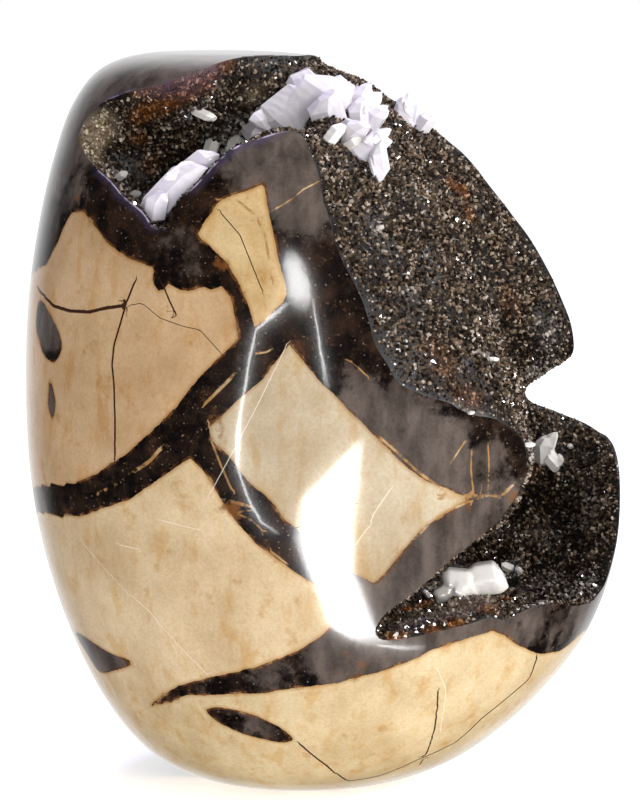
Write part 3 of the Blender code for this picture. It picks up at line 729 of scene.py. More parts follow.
def depth_in(places, outline):
    """How deep points lie inside a closed outline, in millimetres, and below zero outside it."""
    middle = outline.mean(axis=0)
    spots, edge = chart(places, middle), chart(outline, middle)
    inside = np.zeros(len(places), bool)
    for a, b in zip(edge, np.roll(edge, -1, axis=0)):
        spans = (a[1] > spots[:, 1]) != (b[1] > spots[:, 1])
        slope = (b[0] - a[0]) / (b[1] - a[1] if b[1] != a[1] else 1e-9)
        inside ^= spans & (spots[:, 0] < a[0] + (spots[:, 1] - a[1]) * slope)
    return np.where(inside, 1, -1) * distance_to(places, outline)


SPOT_REACH = 1.6       # a spot's full strength ends at 0.6 of its radius, and it fades out at 1.6


def nearness(places, tree, spots, behind=()):
    """How strongly each point is reached by the nearest of some round spots, from 0 to 1."""
    reached = np.zeros(len(places))
    centred = [(seen_on(tree, (x, y)), radius, strength) for x, y, radius, strength in spots]
    centred += [(round_at(degrees, height), radius, strength) for degrees, height, radius, strength in behind]
    for centre, radius, strength in centred:
        far = np.linalg.norm(places - np.array(centre), axis=1) / (radius * MM)
        reached = np.maximum(reached, strength * np.clip(SPOT_REACH - far, 0, 1))
    return reached


def put(mesh, name, values):
    """Stores one number for each corner of a mesh."""
    layer = mesh.attributes.new(name, "FLOAT", "POINT")
    layer.data.foreach_set("value", np.asarray(values, np.float32))


def colour(code):
    """An sRGB hex colour as linear red, green, blue and alpha."""
    parts = [int(code[k:k + 2], 16) / 255 for k in (1, 3, 5)]
    return (*[p / 12.92 if p <= 0.04045 else ((p + 0.055) / 1.055) ** 2.4 for p in parts], 1.0)


def node(tree, kind, settings=None, **links):
    """Adds a node, sets its properties, and fills its sockets with values or links them to other sockets."""
    made = tree.nodes.new(kind)
    for key, value in (settings or {}).items():
        setattr(made, key, value)
    for key, value in links.items():
        numbered = key[0] == "i" and key[1:].isdigit()
        socket = made.inputs[int(key[1:]) if numbered else key.replace("_", " ")]
        if isinstance(value, bpy.types.NodeSocket):
            tree.links.new(value, socket)
        else:
            socket.default_value = value
    return made


def new_paint(name):
    """A material, its node tree and its shader."""
    paint = bpy.data.materials.new(name)
    paint.use_nodes = True
    return paint, paint.node_tree, paint.node_tree.nodes["Principled BSDF"]


def worked(tree, operation, *values):
    """One sum on values or sockets."""
    links = {f"i{k}": value for k, value in enumerate(values)}
    return node(tree, "ShaderNodeMath", {"operation": operation}, **links).outputs[0]


def faded(tree, value, low, high, most=1.0, kind="SMOOTHSTEP"):
    """What a value gives between two bounds, from nothing at low to the most at high."""
    return node(tree, "ShaderNodeMapRange", {"interpolation_type": kind}, Value=value, From_Min=low,
                From_Max=high, To_Max=most).outputs[0]


def laid(tree, share, under, over, blend="MIX"):
    """One colour laid over another by a share. Each colour is a socket or an sRGB hex code."""
    under, over = [colour(c) if isinstance(c, str) else c for c in (under, over)]
    settings = {"data_type": "RGBA", "blend_type": blend}
    return node(tree, "ShaderNodeMix", settings, i0=share, i6=under, i7=over).outputs[2]


def mottling(tree, place, spacing, detail, roughness=0.5, distortion=0.0):
    """A soft random pattern whose patches are about the spacing wide, in millimetres."""
    return node(tree, "ShaderNodeTexNoise", Vector=place, Scale=1 / (spacing * MM), Detail=detail,
                Roughness=roughness, Distortion=distortion).outputs["Fac"]


def dots(tree, place, spacing, edge, core, most):
    """Small round dots about the spacing apart, in millimetres. Edge and core are shares of the spacing."""
    distance = node(tree, "ShaderNodeTexVoronoi", Vector=place, Scale=1 / (spacing * MM)).outputs["Distance"]
    return faded(tree, distance, edge, core, most)


def stored(tree, *names):
    """The numbers that a piece stores at its corners, by name."""
    found = [node(tree, "ShaderNodeAttribute", {"attribute_name": name}) for name in names]
    return {name: attribute.outputs["Fac"] for name, attribute in zip(names, found)}


# The mud's tones from grey to warm, and where each stands between them. The darker stop at 0.35, which the
# upper left cell takes, is partly the cell's own tone and partly painted shade of the stone's upper side.
MUD_TONES = ((0.0, "#beb8a5"), (0.35, "#c9ac87"), (0.6, "#d3bf9c"), (0.75, "#d2ba8e"), (1.0, "#d3cab0"))

# What the stone's lines are drawn with: how sharp each is, and how ragged, in half widths.
LINE_EDGES = (("crack", 0.8, 0.7), ("seam", 0.8, 1.0), ("scratch", 0.9, 0.2))


def stone_patterns(tree):
    """The random patterns that the stone's paints share, and the stains made from them."""
    place = node(tree, "ShaderNodeTexCoord").outputs["Object"]
    upright = node(tree, "ShaderNodeMapping", Vector=place, Scale=(1.0, 1.0, 0.35)).outputs["Vector"]
    patches = mottling(tree, place, 4.5, 4.0, 0.65)
    streaks = mottling(tree, upright, 3.5, 3.0)
    return SimpleNamespace(
        place=place,
        clouds=mottling(tree, place, 16.0, 3.0, 0.6),
        patches=patches,
        streaks=streaks,
        sway=mottling(tree, place, 3.0, 2.0),
        grain=mottling(tree, place, 0.6, 4.0, 0.7),
        warm=faded(tree, streaks, 0.5, 0.72, 0.6),
        stain=faded(tree, patches, 0.55, 0.75, 0.7),
        broken=faded(tree, patches, 0.44, 0.56, 0.9),
    )


def tan_mud(tree, pattern, tone, cell, pit):
    """Tan mud: a tone for each cell, clouds, upright rusty streaks, fine mottling, pits and brown specks."""
    tan = node(tree, "ShaderNodeValToRGB", Fac=tone)
    stops = tan.color_ramp.elements
    (stops[0].position, first), (stops[1].position, last) = MUD_TONES[0], MUD_TONES[-1]
    stops[0].color, stops[1].color = colour(first), colour(last)
    for position, code in MUD_TONES[1:-1]:
        stops.new(position).color = colour(code)
    dim = faded(tree, pattern.clouds, 0.35, 0.68, 0.75, "LINEAR")
    fleck = faded(tree, pattern.grain, 0.35, 0.7, 0.7, "LINEAR")
    edge = faded(tree, cell, 1.1, 0.25, 0.7)
    mud = tan.outputs["Color"]
    for share, shade in ((dim, "#d6cbb8"), (pattern.warm, "#efd6a4"), (pattern.stain, "#e4ca9c"),
                         (fleck, "#e3dacb"), (edge, "#d9bd8a")):
        mud = laid(tree, share, mud, shade, "MULTIPLY")
    pitted = laid(tree, worked(tree, "MULTIPLY", pit, pattern.stain), mud, "#f6ecd6")
    speck = dots(tree, pattern.place, 2.6, 0.09, 0.04, 0.8)
    return laid(tree, worked(tree, "MULTIPLY", speck, pattern.warm), pitted, "#8d5f31")


def brown_vein(tree, pattern, field, cell):
    """Brown calcite: near black with rusty grains and pale specks painted as glints of its fine crystals, or
    a clear grey, and a painted lilac reflection at the pit's rim.
    """
    depth = faded(tree, pattern.patches, 0.42, 0.68, kind="LINEAR")
    dark = laid(tree, depth, "#0b0605", "#2e1f15")
    grainy = laid(tree, faded(tree, pattern.grain, 0.58, 0.68, 0.5), dark, "#5f3f26")
    # Pale specks: painted glints of the vein's fine crystals, laid into the colour.
    glint_specked = laid(tree, dots(tree, pattern.place, 1.3, 0.15, 0.08, 0.5), grainy, "#8f8172")
    fibres = worked(tree, "MULTIPLY_ADD", pattern.grain, 0.35, pattern.streaks)
    clear_grey = laid(tree, faded(tree, fibres, 0.52, 0.86, kind="LINEAR"), "#3c342f", "#60564f")
    greying = worked(tree, "MULTIPLY_ADD", pattern.patches, 1.2, field["grey"])
    vein = laid(tree, faded(tree, greying, 0.95, 1.35), glint_specked, clear_grey)
    browned = worked(tree, "MULTIPLY", faded(tree, cell, -2.6, 0.0), pattern.stain)
    rusty = laid(tree, browned, vein, "#5c3a24")
    # The lilac at the pit's rim is a painted reflection of lilac light.
    sheen = worked(tree, "MULTIPLY", faded(tree, field["rim"], 2.2, 0.3, 0.45), field["lilac"])
    return laid(tree, sheen, rusty, "#4a4460")


def drawn_lines(tree, pattern, field):
    """How strongly each kind of line covers the stone.

    Each field is the distance from the line, in half widths of it, and below zero on one side, so that even a
    thin line comes out sharp. The field with _off in its name tells where the line ends.
    """
    rough_edge = worked(tree, "MULTIPLY_ADD", pattern.grain, 1.4, -0.7)
    cuts = {}
    for name, sharpness, rag in LINE_EDGES:
        ragged = worked(tree, "MULTIPLY_ADD", rough_edge, rag, field[name])
        on_line = faded(tree, worked(tree, "ABSOLUTE", ragged), 1.2, sharpness)
        ends = faded(tree, field[name + "_off"], 1.3, 0.9)
        cuts[name] = worked(tree, "MULTIPLY", on_line, ends)
    return cuts


def polished_stone():
    """Limestone mud, cut, ground and buffed to a wet-looking gloss.

    The cells are warm tan with soft rusty streaks, small pits and hairline cracks. The veins between them are
    brown calcite that goes from speckled near black to a clear grey, and is rusty where it meets a cell.
    """
    paint, tree, shader = new_paint("polished_septarian_limestone")
    field = stored(tree, "cell", "tone", "crack", "crack_off", "seam", "seam_off", "scratch", "scratch_off",
                   "rim", "grey", "rust", "lilac")
    pattern = stone_patterns(tree)

    # The cells' edges wander by a third of a millimetre, with a finer saw edge on that.
    wander = worked(tree, "MULTIPLY_ADD", pattern.sway, 0.7, -0.35)
    shift = worked(tree, "MULTIPLY_ADD", pattern.grain, 0.5, wander)
    cell = worked(tree, "ADD", field["cell"], shift)
    in_cell = faded(tree, cell, 0.17, 0.33)
    pit = dots(tree, pattern.place, 1.9, 0.08, 0.04, 0.85)
    mud = tan_mud(tree, pattern, field["tone"], cell, pit)
    body = laid(tree, in_cell, brown_vein(tree, pattern, field, cell), mud)

    # Where cell and vein meet: a thin rusty line that breaks up, and cream in places.
    line = faded(tree, worked(tree, "ABSOLUTE", cell), 0.3, 0.12)
    line_paint = laid(tree, pattern.stain, "#5a3519", "#c6a06a")
    finished = laid(tree, worked(tree, "MULTIPLY", line, pattern.broken), body, line_paint)

    # Brown cracks, broken cream and rusty seams, and faint scratches.
    cuts = drawn_lines(tree, pattern, field)
    cracked = laid(tree, cuts["crack"], finished, "#3a2114")
    seam_paint = laid(tree, pattern.warm, "#9c7646", "#d9caa8")
    seamed = laid(tree, worked(tree, "MULTIPLY", cuts["seam"], pattern.broken), cracked, seam_paint)
    scratched = laid(tree, worked(tree, "MULTIPLY", cuts["scratch"], 0.5), seamed, "#f2e8d6")

    # Rust that soaked in, in ragged patches, and the pale line along the pit's rim, painted in lilac only
    # where the painted lilac reflection falls.
    soaking = worked(tree, "MULTIPLY_ADD", field["rust"], 0.45, pattern.patches)
    rusted = laid(tree, faded(tree, soaking, 0.78, 0.98, 0.8), scratched, "#74471e")
    rim = faded(tree, worked(tree, "MULTIPLY_ADD", shift, 0.3, field["rim"]), 0.5, 0.25)
    lilac_sheen_rim = worked(tree, "MULTIPLY", worked(tree, "MULTIPLY", rim, pattern.broken), field["lilac"])
    tree.links.new(laid(tree, lilac_sheen_rim, rusted, "#bdb3cc"), shader.inputs["Base Color"])

    # The polish is smooth on the mud and a little duller over the veins.
    dull = node(tree, "ShaderNodeMapRange", Value=in_cell, To_Min=0.2, To_Max=0.18).outputs[0]
    tree.links.new(dull, shader.inputs["Roughness"])
    shader.inputs["IOR"].default_value = 1.5
    shader.inputs["Coat Weight"].default_value = 0.6
    shader.inputs["Coat Roughness"].default_value = 0.06
    relief = worked(tree, "MULTIPLY_ADD", pit, -0.25, pattern.sway)
    carved = worked(tree, "MULTIPLY_ADD", cuts["crack"], -0.5, relief)
    bump = node(tree, "ShaderNodeBump", Strength=0.12, Distance=0.15 * MM, Height=carved)
    tree.links.new(bump.outputs["Normal"], shader.inputs["Normal"])
    tree.links.new(bump.outputs["Normal"], shader.inputs["Coat Normal"])
    return paint


# What colours the druse, one over the other: the stored field, and its dark and light shades.
DRUSE_TINTS = (
    ("limonite", "#4c2a12", "#c07e3a"),
    ("purple", "#4b3c46", "#86747c"),
    ("pale", "#65543f", "#e4d8be"),
)


def druse_paint(name, dark, brown, roughness):
    """Smoky calcite points: near black with brown light in them, rusty, frosted or lilac in places.

    Each crystal has its own shade, so that the crust sparkles instead of shining as one. The palest are
    frosted crystals and partly painted glints.
    """
    paint, tree, shader = new_paint(name)
    place = node(tree, "ShaderNodeTexCoord").outputs["Object"]
    field = stored(tree, "shade", "limonite", "pale", "purple", "frost")
    lit = worked(tree, "POWER", field["shade"], 2.2)
    glow = worked(tree, "MULTIPLY", lit, mottling(tree, place, 4.0, 3.0))
    # The palest crystals: frosted ones, and partly painted glints.
    clear = faded(tree, field["shade"], 0.86, 1.0, 0.75, "LINEAR")
    body = laid(tree, clear, laid(tree, glow, dark, brown), "#c3b8ac")
    for key, low, high in DRUSE_TINTS:
        body = laid(tree, field[key], body, laid(tree, lit, low, high))
    iced = laid(tree, worked(tree, "MULTIPLY", field["frost"], lit), body, "#e4e0dc")
    tree.links.new(iced, shader.inputs["Base Color"])
    shader.inputs["Roughness"].default_value = roughness
    shader.inputs["IOR"].default_value = 1.6
    return paint


def clear_calcite(name, tint, transmission, roughness, density):
    """Calcite spar: clear to milky, with flat glassy faces, lilac veils and fine cleavage lines inside."""
    paint, tree, shader = new_paint(name)
    place = node(tree, "ShaderNodeTexCoord").outputs["Object"]
    veil = mottling(tree, place, 3.0, 4.0, distortion=0.6)
    tree.links.new(laid(tree, veil, "#ffffff", tint), shader.inputs["Base Color"])
    shader.inputs["Roughness"].default_value = roughness
    shader.inputs["IOR"].default_value = 1.6
    shader.inputs["Transmission Weight"].default_value = transmission
    cleavage = node(tree, "ShaderNodeTexWave", {"bands_direction": "DIAGONAL"}, Vector=place,
                    Scale=1 / (4.0 * MM), Distortion=4.0, Detail=2.0).outputs["Fac"]
    bump = node(tree, "ShaderNodeBump", Strength=0.25, Distance=0.2 * MM, Height=cleavage)
    tree.links.new(bump.outputs["Normal"], shader.inputs["Normal"])
    haze = node(tree, "ShaderNodeVolumeAbsorption", Color=colour(tint), Density=density)
    tree.links.new(haze.outputs["Volume"], tree.nodes["Material Output"].inputs["Volume"])
    return paint


# A tablet's rings from end to end, as shares of its half size: how high, how wide, and how far aside.
TABLET_RINGS = ((-1.0, 0.45, -0.2), (-0.62, 1.0, 0.0), (0.55, 1.0, 0.0), (1.0, 0.5, 0.25))
TABLET_SLANT = 0.12    # how far its ends slant, as a share of its half length


def tablet(name, centre, size, turn):
    """One flat-faced crystal: a six-sided bar with slanted, cut-off ends."""
    width, thickness, length = (s / 2 for s in size)
    corners = []
    for height, spread, lean in TABLET_RINGS:
        for k in range(6):
            angle = math.radians(60 * k + 30)
            corners.append(Vector((
                (spread * math.cos(angle) + lean) * width,
                spread * math.sin(angle) * thickness,
                (height + TABLET_SLANT * math.cos(angle)) * length,
            )))
    turned = Euler([math.radians(t) for t in turn]).to_matrix()
    return hull(name, [turned @ c + Vector(centre) for c in corners])


# A spur on a tablet: how far off the middle it sits and how large it is, as shares, and its turn in degrees.
SPUR_REACH = 0.42
SPUR_SIZES = (0.35, 0.6)
SPUR_TURN = 28


def grown(name, tablets, spurs, seed):
    """Tablets grown through each other, each with a few smaller spurs, in one solid."""
    draw = np.random.default_rng(seed)
    whole = tablet(name, *tablets[0])
    small = []
    for centre, size, turn in tablets:
        for _ in range(spurs):
            reach = draw.uniform(-SPUR_REACH, SPUR_REACH, 3) * np.array(size)
            way = Euler([math.radians(t) for t in turn]).to_matrix() @ Vector(reach)
            bend = tuple(t + draw.uniform(-SPUR_TURN, SPUR_TURN) for t in turn)
            less = tuple(s * draw.uniform(*SPUR_SIZES) for s in size)
            small.append((tuple(Vector(centre) + way), less, bend))
    for place in [*tablets[1:], *small]:
        branch = tablet("branch", *place)
        boolean(whole, branch, "UNION")
        remove(branch)
    return whole


def put_fields(piece, egg_tree):
    """Stores on the cut stone how each corner lies to the cells, cracks, seams, rims and stains."""
    mesh = piece.data
    places, _ = as_arrays(mesh)
    cells = np.full(len(places), -99.0)
    tones = np.full(len(places), 0.5)
    for tone, pixels, rounds in CELLS.values():
        if pixels:
            inside = depth_in(places, traced(egg_tree, pixels, rounds))
        else:
            inside = depth_in(places, traced(egg_tree, [], weathered(rounds))) + BEHIND_GROWTH
        tones = np.where(inside > cells, tone, tones)
        cells = np.maximum(cells, inside)
    for pixels in INLETS:
        cells = np.minimum(cells, -depth_in(places, traced(egg_tree, rounded(pixels), [])))
    put(mesh, "cell", cells)
    put(mesh, "tone", tones)
    for name, lines in (("crack", CRACKS), ("seam", SEAMS), ("scratch", SCRATCHES)):
        nearest = np.full(len(places), 99.0)
        across = np.full(len(places), 99.0)
        for width, pixels, rounds in lines:
            far, signed = beside(places, traced(egg_tree, pixels, rounds))
            across = np.where(far < nearest, signed / (width / 2), across)
            nearest = np.minimum(nearest, far)
        put(mesh, name, across)
        put(mesh, name + "_off", nearest)
    put(mesh, "grey", nearness(places, egg_tree, GREY_VEINS, GREY_BEHIND))
    put(mesh, "rust", nearness(places, egg_tree, RUST, RUST_BEHIND))
    # Where the painted lilac reflection lies on the polish.
    put(mesh, "lilac", nearness(places, egg_tree, LILAC_SHEEN))
    put(mesh, "rim", rim_distance(mesh, places))


def rim_distance(mesh, places):
    """How far each corner lies from the hollows' rims, in millimetres."""
    sides = [set() for _ in mesh.vertices]
    for face in mesh.polygons:
        for corner in face.vertices:
            sides[corner].add(face.material_index)
    rim = [k for k, found in enumerate(sides) if len(found) == 2]
    tree = kdtree.KDTree(len(rim))
    for k in rim:
        tree.insert(places[k], k)
    tree.balance()
    return [tree.find(place)[2] / MM for place in places]


SMOOTHED = (0.3, 149.6)    # between which heights the polished faces take the egg's own direction


def polish_normals(mesh):
    """Gives the polished faces the egg's own direction, so that reflections run smoothly to the rims."""
    places, _ = as_arrays(mesh)
    ways = egg_normals(places)
    loops = np.zeros((len(mesh.loops), 3))
    for face in mesh.polygons:
        if face.material_index == 0 and SMOOTHED[0] < face.center.z / MM < SMOOTHED[1]:
            for loop in face.loop_indices:
                loops[loop] = ways[mesh.loops[loop].vertex_index]
    mesh.normals_split_custom_set(loops.tolist())


# The druse's size over the wall: bunches of larger and smaller crystals, and smaller ones towards the rims.
BUNCH_SPACING = 6.0
BUNCH_GAIN = 0.4       # how much the bunches change the size, as a share of it
FROST_GAIN = 0.35      # how much larger the frosted crystals are, as a share
BUNCH_SIZES = (0.65, 1.6)
RIM_SIZE = 0.45        # the share of their size right at the rim
FULL_DEPTH = 2.5       # how much deeper, in millimetres, adds a whole size to that, at most to the full size
BED_SHADE = 0.3        # the shade of the wall under the crystals

# The druse's crystal shapes, of a width of one: sides, radius of the blunt tip and height.
DRUSE_SHAPES = ((4, 0.0, 1.0), (4, 0.3, 0.9), (3, 0.3, 0.9), (3, 0.0, 1.0))
DRUSE_SUNK = 0.35      # how far they stand in the wall, as a share of their height
DRUSE_SIZES = ((0.65, 0.65, 0.5), (1.3, 1.3, 1.5))
BARE_RIM = 0.15        # how deep under the polish the crystals start, in millimetres


def druse_tree():
    """Scatters small flat-faced crystals over a wall, each with its own shape, size, lean and shade."""
    tree = bpy.data.node_groups.new("druse_crystals", "GeometryNodeTree")
    sockets = tree.interface
    sockets.new_socket("Geometry", in_out="INPUT", socket_type="NodeSocketGeometry")
    for name, kind in (("Spacing", "Float"), ("Width", "Float"), ("Height", "Float"), ("Lean", "Float"),
                       ("Seed", "Int"), ("Finish", "Material")):
        sockets.new_socket(name, in_out="INPUT", socket_type=f"NodeSocket{kind}")
    sockets.new_socket("Geometry", in_out="OUTPUT", socket_type="NodeSocketGeometry")
    given = node(tree, "NodeGroupInput").outputs
    numbers = [node(tree, "GeometryNodeInputNamedAttribute", {"data_type": "FLOAT"}, Name=name)
               for name in ("deep", "grow")]
    deep, grow = (number.outputs["Attribute"] for number in numbers)
    kept = node(tree, "FunctionNodeCompare", {"operation": "GREATER_THAN"}, A=deep, B=BARE_RIM).outputs[0]
    spots = node(tree, "GeometryNodeDistributePointsOnFaces", {"distribute_method": "POISSON"},
                 Mesh=given["Geometry"], Selection=kept, Distance_Min=given["Spacing"], Density_Max=4.0e6,
                 Seed=given["Seed"])
    shapes = node(tree, "GeometryNodeJoinGeometry")
    for sides, blunt, height in DRUSE_SHAPES:
        point = node(tree, "GeometryNodeMeshCone", {"fill_type": "NGON"}, Vertices=sides, Radius_Top=blunt,
                     Radius_Bottom=0.5, Depth=height).outputs["Mesh"]
        sunk = node(tree, "GeometryNodeTransform", Geometry=point,
                    Translation=(0.0, 0.0, -DRUSE_SUNK)).outputs[0]
        alone = node(tree, "GeometryNodeGeometryToInstance", Geometry=sunk).outputs[0]
        tree.links.new(alone, shapes.inputs[0])
    index = node(tree, "GeometryNodeInputIndex").outputs[0]
    pick = node(tree, "FunctionNodeRandomValue", {"data_type": "INT"}, i4=0, i5=len(DRUSE_SHAPES) - 1,
                ID=index, Seed=1).outputs[2]
    vary = node(tree, "FunctionNodeRandomValue", {"data_type": "FLOAT_VECTOR"}, i0=DRUSE_SIZES[0],
                i1=DRUSE_SIZES[1], Seed=2).outputs[0]
    girth = node(tree, "ShaderNodeCombineXYZ", X=given["Width"], Y=given["Width"],
                 Z=given["Height"]).outputs[0]
    grown_size = node(tree, "ShaderNodeVectorMath", {"operation": "MULTIPLY"}, i0=girth, i1=vary).outputs[0]
    size = node(tree, "ShaderNodeVectorMath", {"operation": "SCALE"}, i0=grown_size, Scale=grow).outputs[0]
    carpet = node(tree, "GeometryNodeInstanceOnPoints", Points=spots.outputs["Points"],
                  Instance=shapes.outputs[0], Pick_Instance=True, Instance_Index=pick,
                  Rotation=spots.outputs["Rotation"], Scale=size).outputs[0]
    least = node(tree, "ShaderNodeMath", {"operation": "MULTIPLY"}, i0=given["Lean"], i1=-1.0).outputs[0]
    low = node(tree, "ShaderNodeCombineXYZ", X=least, Y=least, Z=-3.1).outputs[0]
    high = node(tree, "ShaderNodeCombineXYZ", X=given["Lean"], Y=given["Lean"], Z=3.1).outputs[0]
    lean = node(tree, "FunctionNodeRandomValue", {"data_type": "FLOAT_VECTOR"}, i0=low, i1=high,
                Seed=3).outputs[0]
    leaning = node(tree, "GeometryNodeRotateInstances", Instances=carpet, Rotation=lean).outputs[0]
    shade = node(tree, "FunctionNodeRandomValue", {"data_type": "FLOAT"}, i2=0.0, i3=1.0, Seed=4).outputs[1]
    shaded = node(tree, "GeometryNodeStoreNamedAttribute", {"data_type": "FLOAT", "domain": "INSTANCE"},
                  Geometry=leaning, Name="shade", Value=shade).outputs[0]
    solid = node(tree, "GeometryNodeRealizeInstances", Geometry=shaded).outputs[0]
    flat = node(tree, "GeometryNodeSetShadeSmooth", Geometry=solid, Shade_Smooth=False).outputs[0]
    painted = node(tree, "GeometryNodeSetMaterial", Geometry=flat, Material=given["Finish"]).outputs[0]
    node(tree, "NodeGroupOutput", Geometry=painted)
    return tree


def carpeted(wall, tree, settings, paint):
    """A new piece of crystals over a wall, made by the node tree with its inputs set by name."""
    step = wall.modifiers.new("crystals", "NODES")
    step.node_group = tree
    sockets = {item.name: item.identifier for item in tree.interface.items_tree if item.in_out == "INPUT"}
    for name, value in {**settings, "Finish": paint}.items():
        step[sockets[name]] = value
    return baked(wall)


def wall_copy(stone, name, keeps):
    """The stone's hollow wall, or a part of it, as a skin of its own."""
    skin = stone.copy()
    skin.data = stone.data.copy()
    skin.name = name
    bpy.context.scene.collection.objects.link(skin)
    work = bmesh.new()
    work.from_mesh(skin.data)
    middles = [(face, (face.calc_center_median() - SHIFT) / MM) for face in work.faces]
    gone = [face for face, c in middles if face.material_index == 0 or not keeps(c.x, c.z)]
    bmesh.ops.delete(work, geom=gone, context="FACES")
    work.to_mesh(skin.data)
    work.free()
    return skin


# Where the druse is parted into pieces: the pit's right edge and floor, and two heights in the side hollow.
PIT_RIGHT = 2.0
PIT_HEIGHT = 110.0
UPPER_HEIGHT = 84.0
LOWER_HEIGHT = 62.0


def in_pit(x, z):
    """Whether a place on the walls, in millimetres, is in the pit."""
    return x < PIT_RIGHT and z > PIT_HEIGHT


class NoduleStone(bpy.types.PropertyGroup):
    sides: bpy.props.IntProperty(
        name="Sides", description="Points round the polished outside", default=320, min=48)
    levels: bpy.props.IntProperty(
        name="Levels", description="Slices from the ground flat to the top", default=212, min=32)
    wall_grain: bpy.props.FloatProperty(
        name="Wall grain", description="How finely the hollows' walls are shaped", default=0.001,
        unit="LENGTH", precision=5)
    wall_inset: bpy.props.FloatProperty(
        name="Wall inset", description="How far the wall under the crystals stands in from the frame's wall",
        default=0.0013, unit="LENGTH", precision=5)


class NoduleDruse(bpy.types.PropertyGroup):
    spacing: bpy.props.FloatProperty(
        name="Spacing", description="Least distance between two crystals", default=0.0005, unit="LENGTH",
        precision=5)
    width: bpy.props.FloatProperty(
        name="Width", description="Width of a crystal", default=0.00095, unit="LENGTH", precision=5)
    height: bpy.props.FloatProperty(
        name="Height", description="Height of a crystal", default=0.00085, unit="LENGTH", precision=5)
    lean: bpy.props.FloatProperty(
        name="Lean", description="How far a crystal leans at most", default=0.75, subtype="ANGLE")
    seed: bpy.props.IntProperty(name="Seed", description="Seed of the scattering", default=7)


class NoduleCalcite(bpy.types.PropertyGroup):
    spurs: bpy.props.IntProperty(
        name="Spurs", description="Small crystals on each large one", default=2, min=0)
    bevel: bpy.props.FloatProperty(
        name="Worn edge", description="Width of the worn edges", default=0.00012, unit="LENGTH", precision=5)
    tint: bpy.props.StringProperty(
        name="Tint", description="sRGB colour of the calcite's depth", default="#ece5f7")


class NoduleStage(bpy.types.PropertyGroup):
    floor: bpy.props.StringProperty(name="Floor", description="sRGB colour of the floor", default="#f4f3f1")
    floor_glow: bpy.props.FloatProperty(
        name="Floor glow", description="Light that comes through the floor, as on a light table",
        default=0.62)
    sky: bpy.props.FloatProperty(
        name="Sky", description="Strength of the white surroundings", default=0.5)
    window: bpy.props.FloatProperty(
        name="Window", description="Strength of the low window card", default=32.0)
    fill: bpy.props.FloatProperty(
        name="Fill", description="Power of the broad front light", default=3.6, unit="POWER")


# Small loose crystals on the walls: a point of the photograph, then width, thickness and length, then how
# far it leans from the wall's own direction towards the right and upwards, in degrees.
CHIPS = [
    (197, 111, 2.6, 2.2, 5.0, 20, -30), (213, 142, 3.2, 2.6, 5.0, -15, 20), (225, 150, 2.6, 2.2, 4.6, 25, 10),
    (238, 140, 4.0, 3.0, 6.0, -20, 25), (250, 128, 4.2, 3.2, 6.0, 15, 0), (352, 98, 3.4, 2.8, 5.2, 10, 20),
    (364, 112, 3.0, 2.6, 4.6, -20, 0), (330, 140, 3.6, 3.0, 5.0, 25, -10), (348, 146, 3.6, 2.8, 5.0, -15, 15),
    (364, 150, 2.8, 2.4, 4.2, 30, 10), (526, 445, 1.3, 1.0, 2.2, 0, 10), (571, 447, 1.3, 1.0, 2.0, 20, 0),
    (428, 596, 1.8, 1.3, 4.2, 35, 30), (512, 569, 2.6, 2.0, 3.2, -30, 10), (520, 572, 1.8, 1.5, 2.4, 10, 0),
    (489, 359, 1.2, 0.9, 2.4, 10, 40), (118, 178, 2.2, 1.8, 2.6, 10, 0), (132, 196, 2.4, 1.9, 2.8, -15, 15),
    (148, 208, 2.6, 2.0, 3.0, 20, 10), (160, 216, 2.2, 1.8, 2.6, -10, 20), (470, 413, 1.1, 0.8, 2.2, -20, 20),
]

CHIP_RAISED = 0.28     # how far a loose crystal's middle stands off the wall, as a share of its length

# Where the polish mirrors the bright cards, as points of the photograph: the two ends of each row across
# the card's image, from above down, or the middle line of a narrow image and its width.
WINDOW_IMAGE = [
    [(361, 436), (366, 437)], [(330, 468), (362, 469)], [(297, 499), (360, 500)], [(292, 535), (358, 535)],
    [(302, 570), (357, 568)], [(318, 600), (368, 598)], [(324, 626), (378, 624)], [(350, 646), (396, 644)],
]
GLARE_IMAGE = [
    [(287, 250), (291, 250)], [(282, 264), (304, 261)], [(285, 280), (312, 282)], [(283, 294), (316, 298)],
    [(290, 312), (306, 314)],
]
LINE_IMAGES = [
    (3.6, [(311, 290), (316, 320), (321, 352), (328, 392)]),
    (4.6, [(296, 298), (274, 314), (256, 330), (250, 358), (243, 400), (238, 436), (238, 466), (247, 496),
           (262, 522), (282, 534)]),
    (4.4, [(352, 640), (380, 645), (424, 646)]),
]
CARD_FRONT = -75.0     # how far in front of the origin the cards stand
CARD_FADE = 0.25       # the share of their width in which they fade out at either side
CARD_SHARES = {"glare": 0.5, "line": 0.9}

# The lights: name, place, what each is turned to, width, share of the fill's power, tint, and whether the
# polish and the crystals mirror it.
LIGHTS = (
    ("fill", (420, -620, 200), (0, 0, 60), 520, 1.0, "#fffaf3", False),
    ("sparkle_right", (560, -300, 330), (40, 0, 70), 60, 0.35, "#ffffff", True),
    ("sparkle_top", (220, 20, 615), (20, -10, 100), 60, 0.55, "#f6f2ff", True),
    ("lilac_back", (-210, 180, 615), (-20, 0, 120), 90, 0.4, "#cfc4ff", False),
)
FLOOR_REACH = 4000.0
MIRRORED_SKY = (0.55, 1.0)     # how far back the mirrored surroundings turn from dark to white
DARK_SKY = 0.02        # how bright their dark front is
SEEN_SKY = 1.0         # how bright the surroundings are where the camera sees them


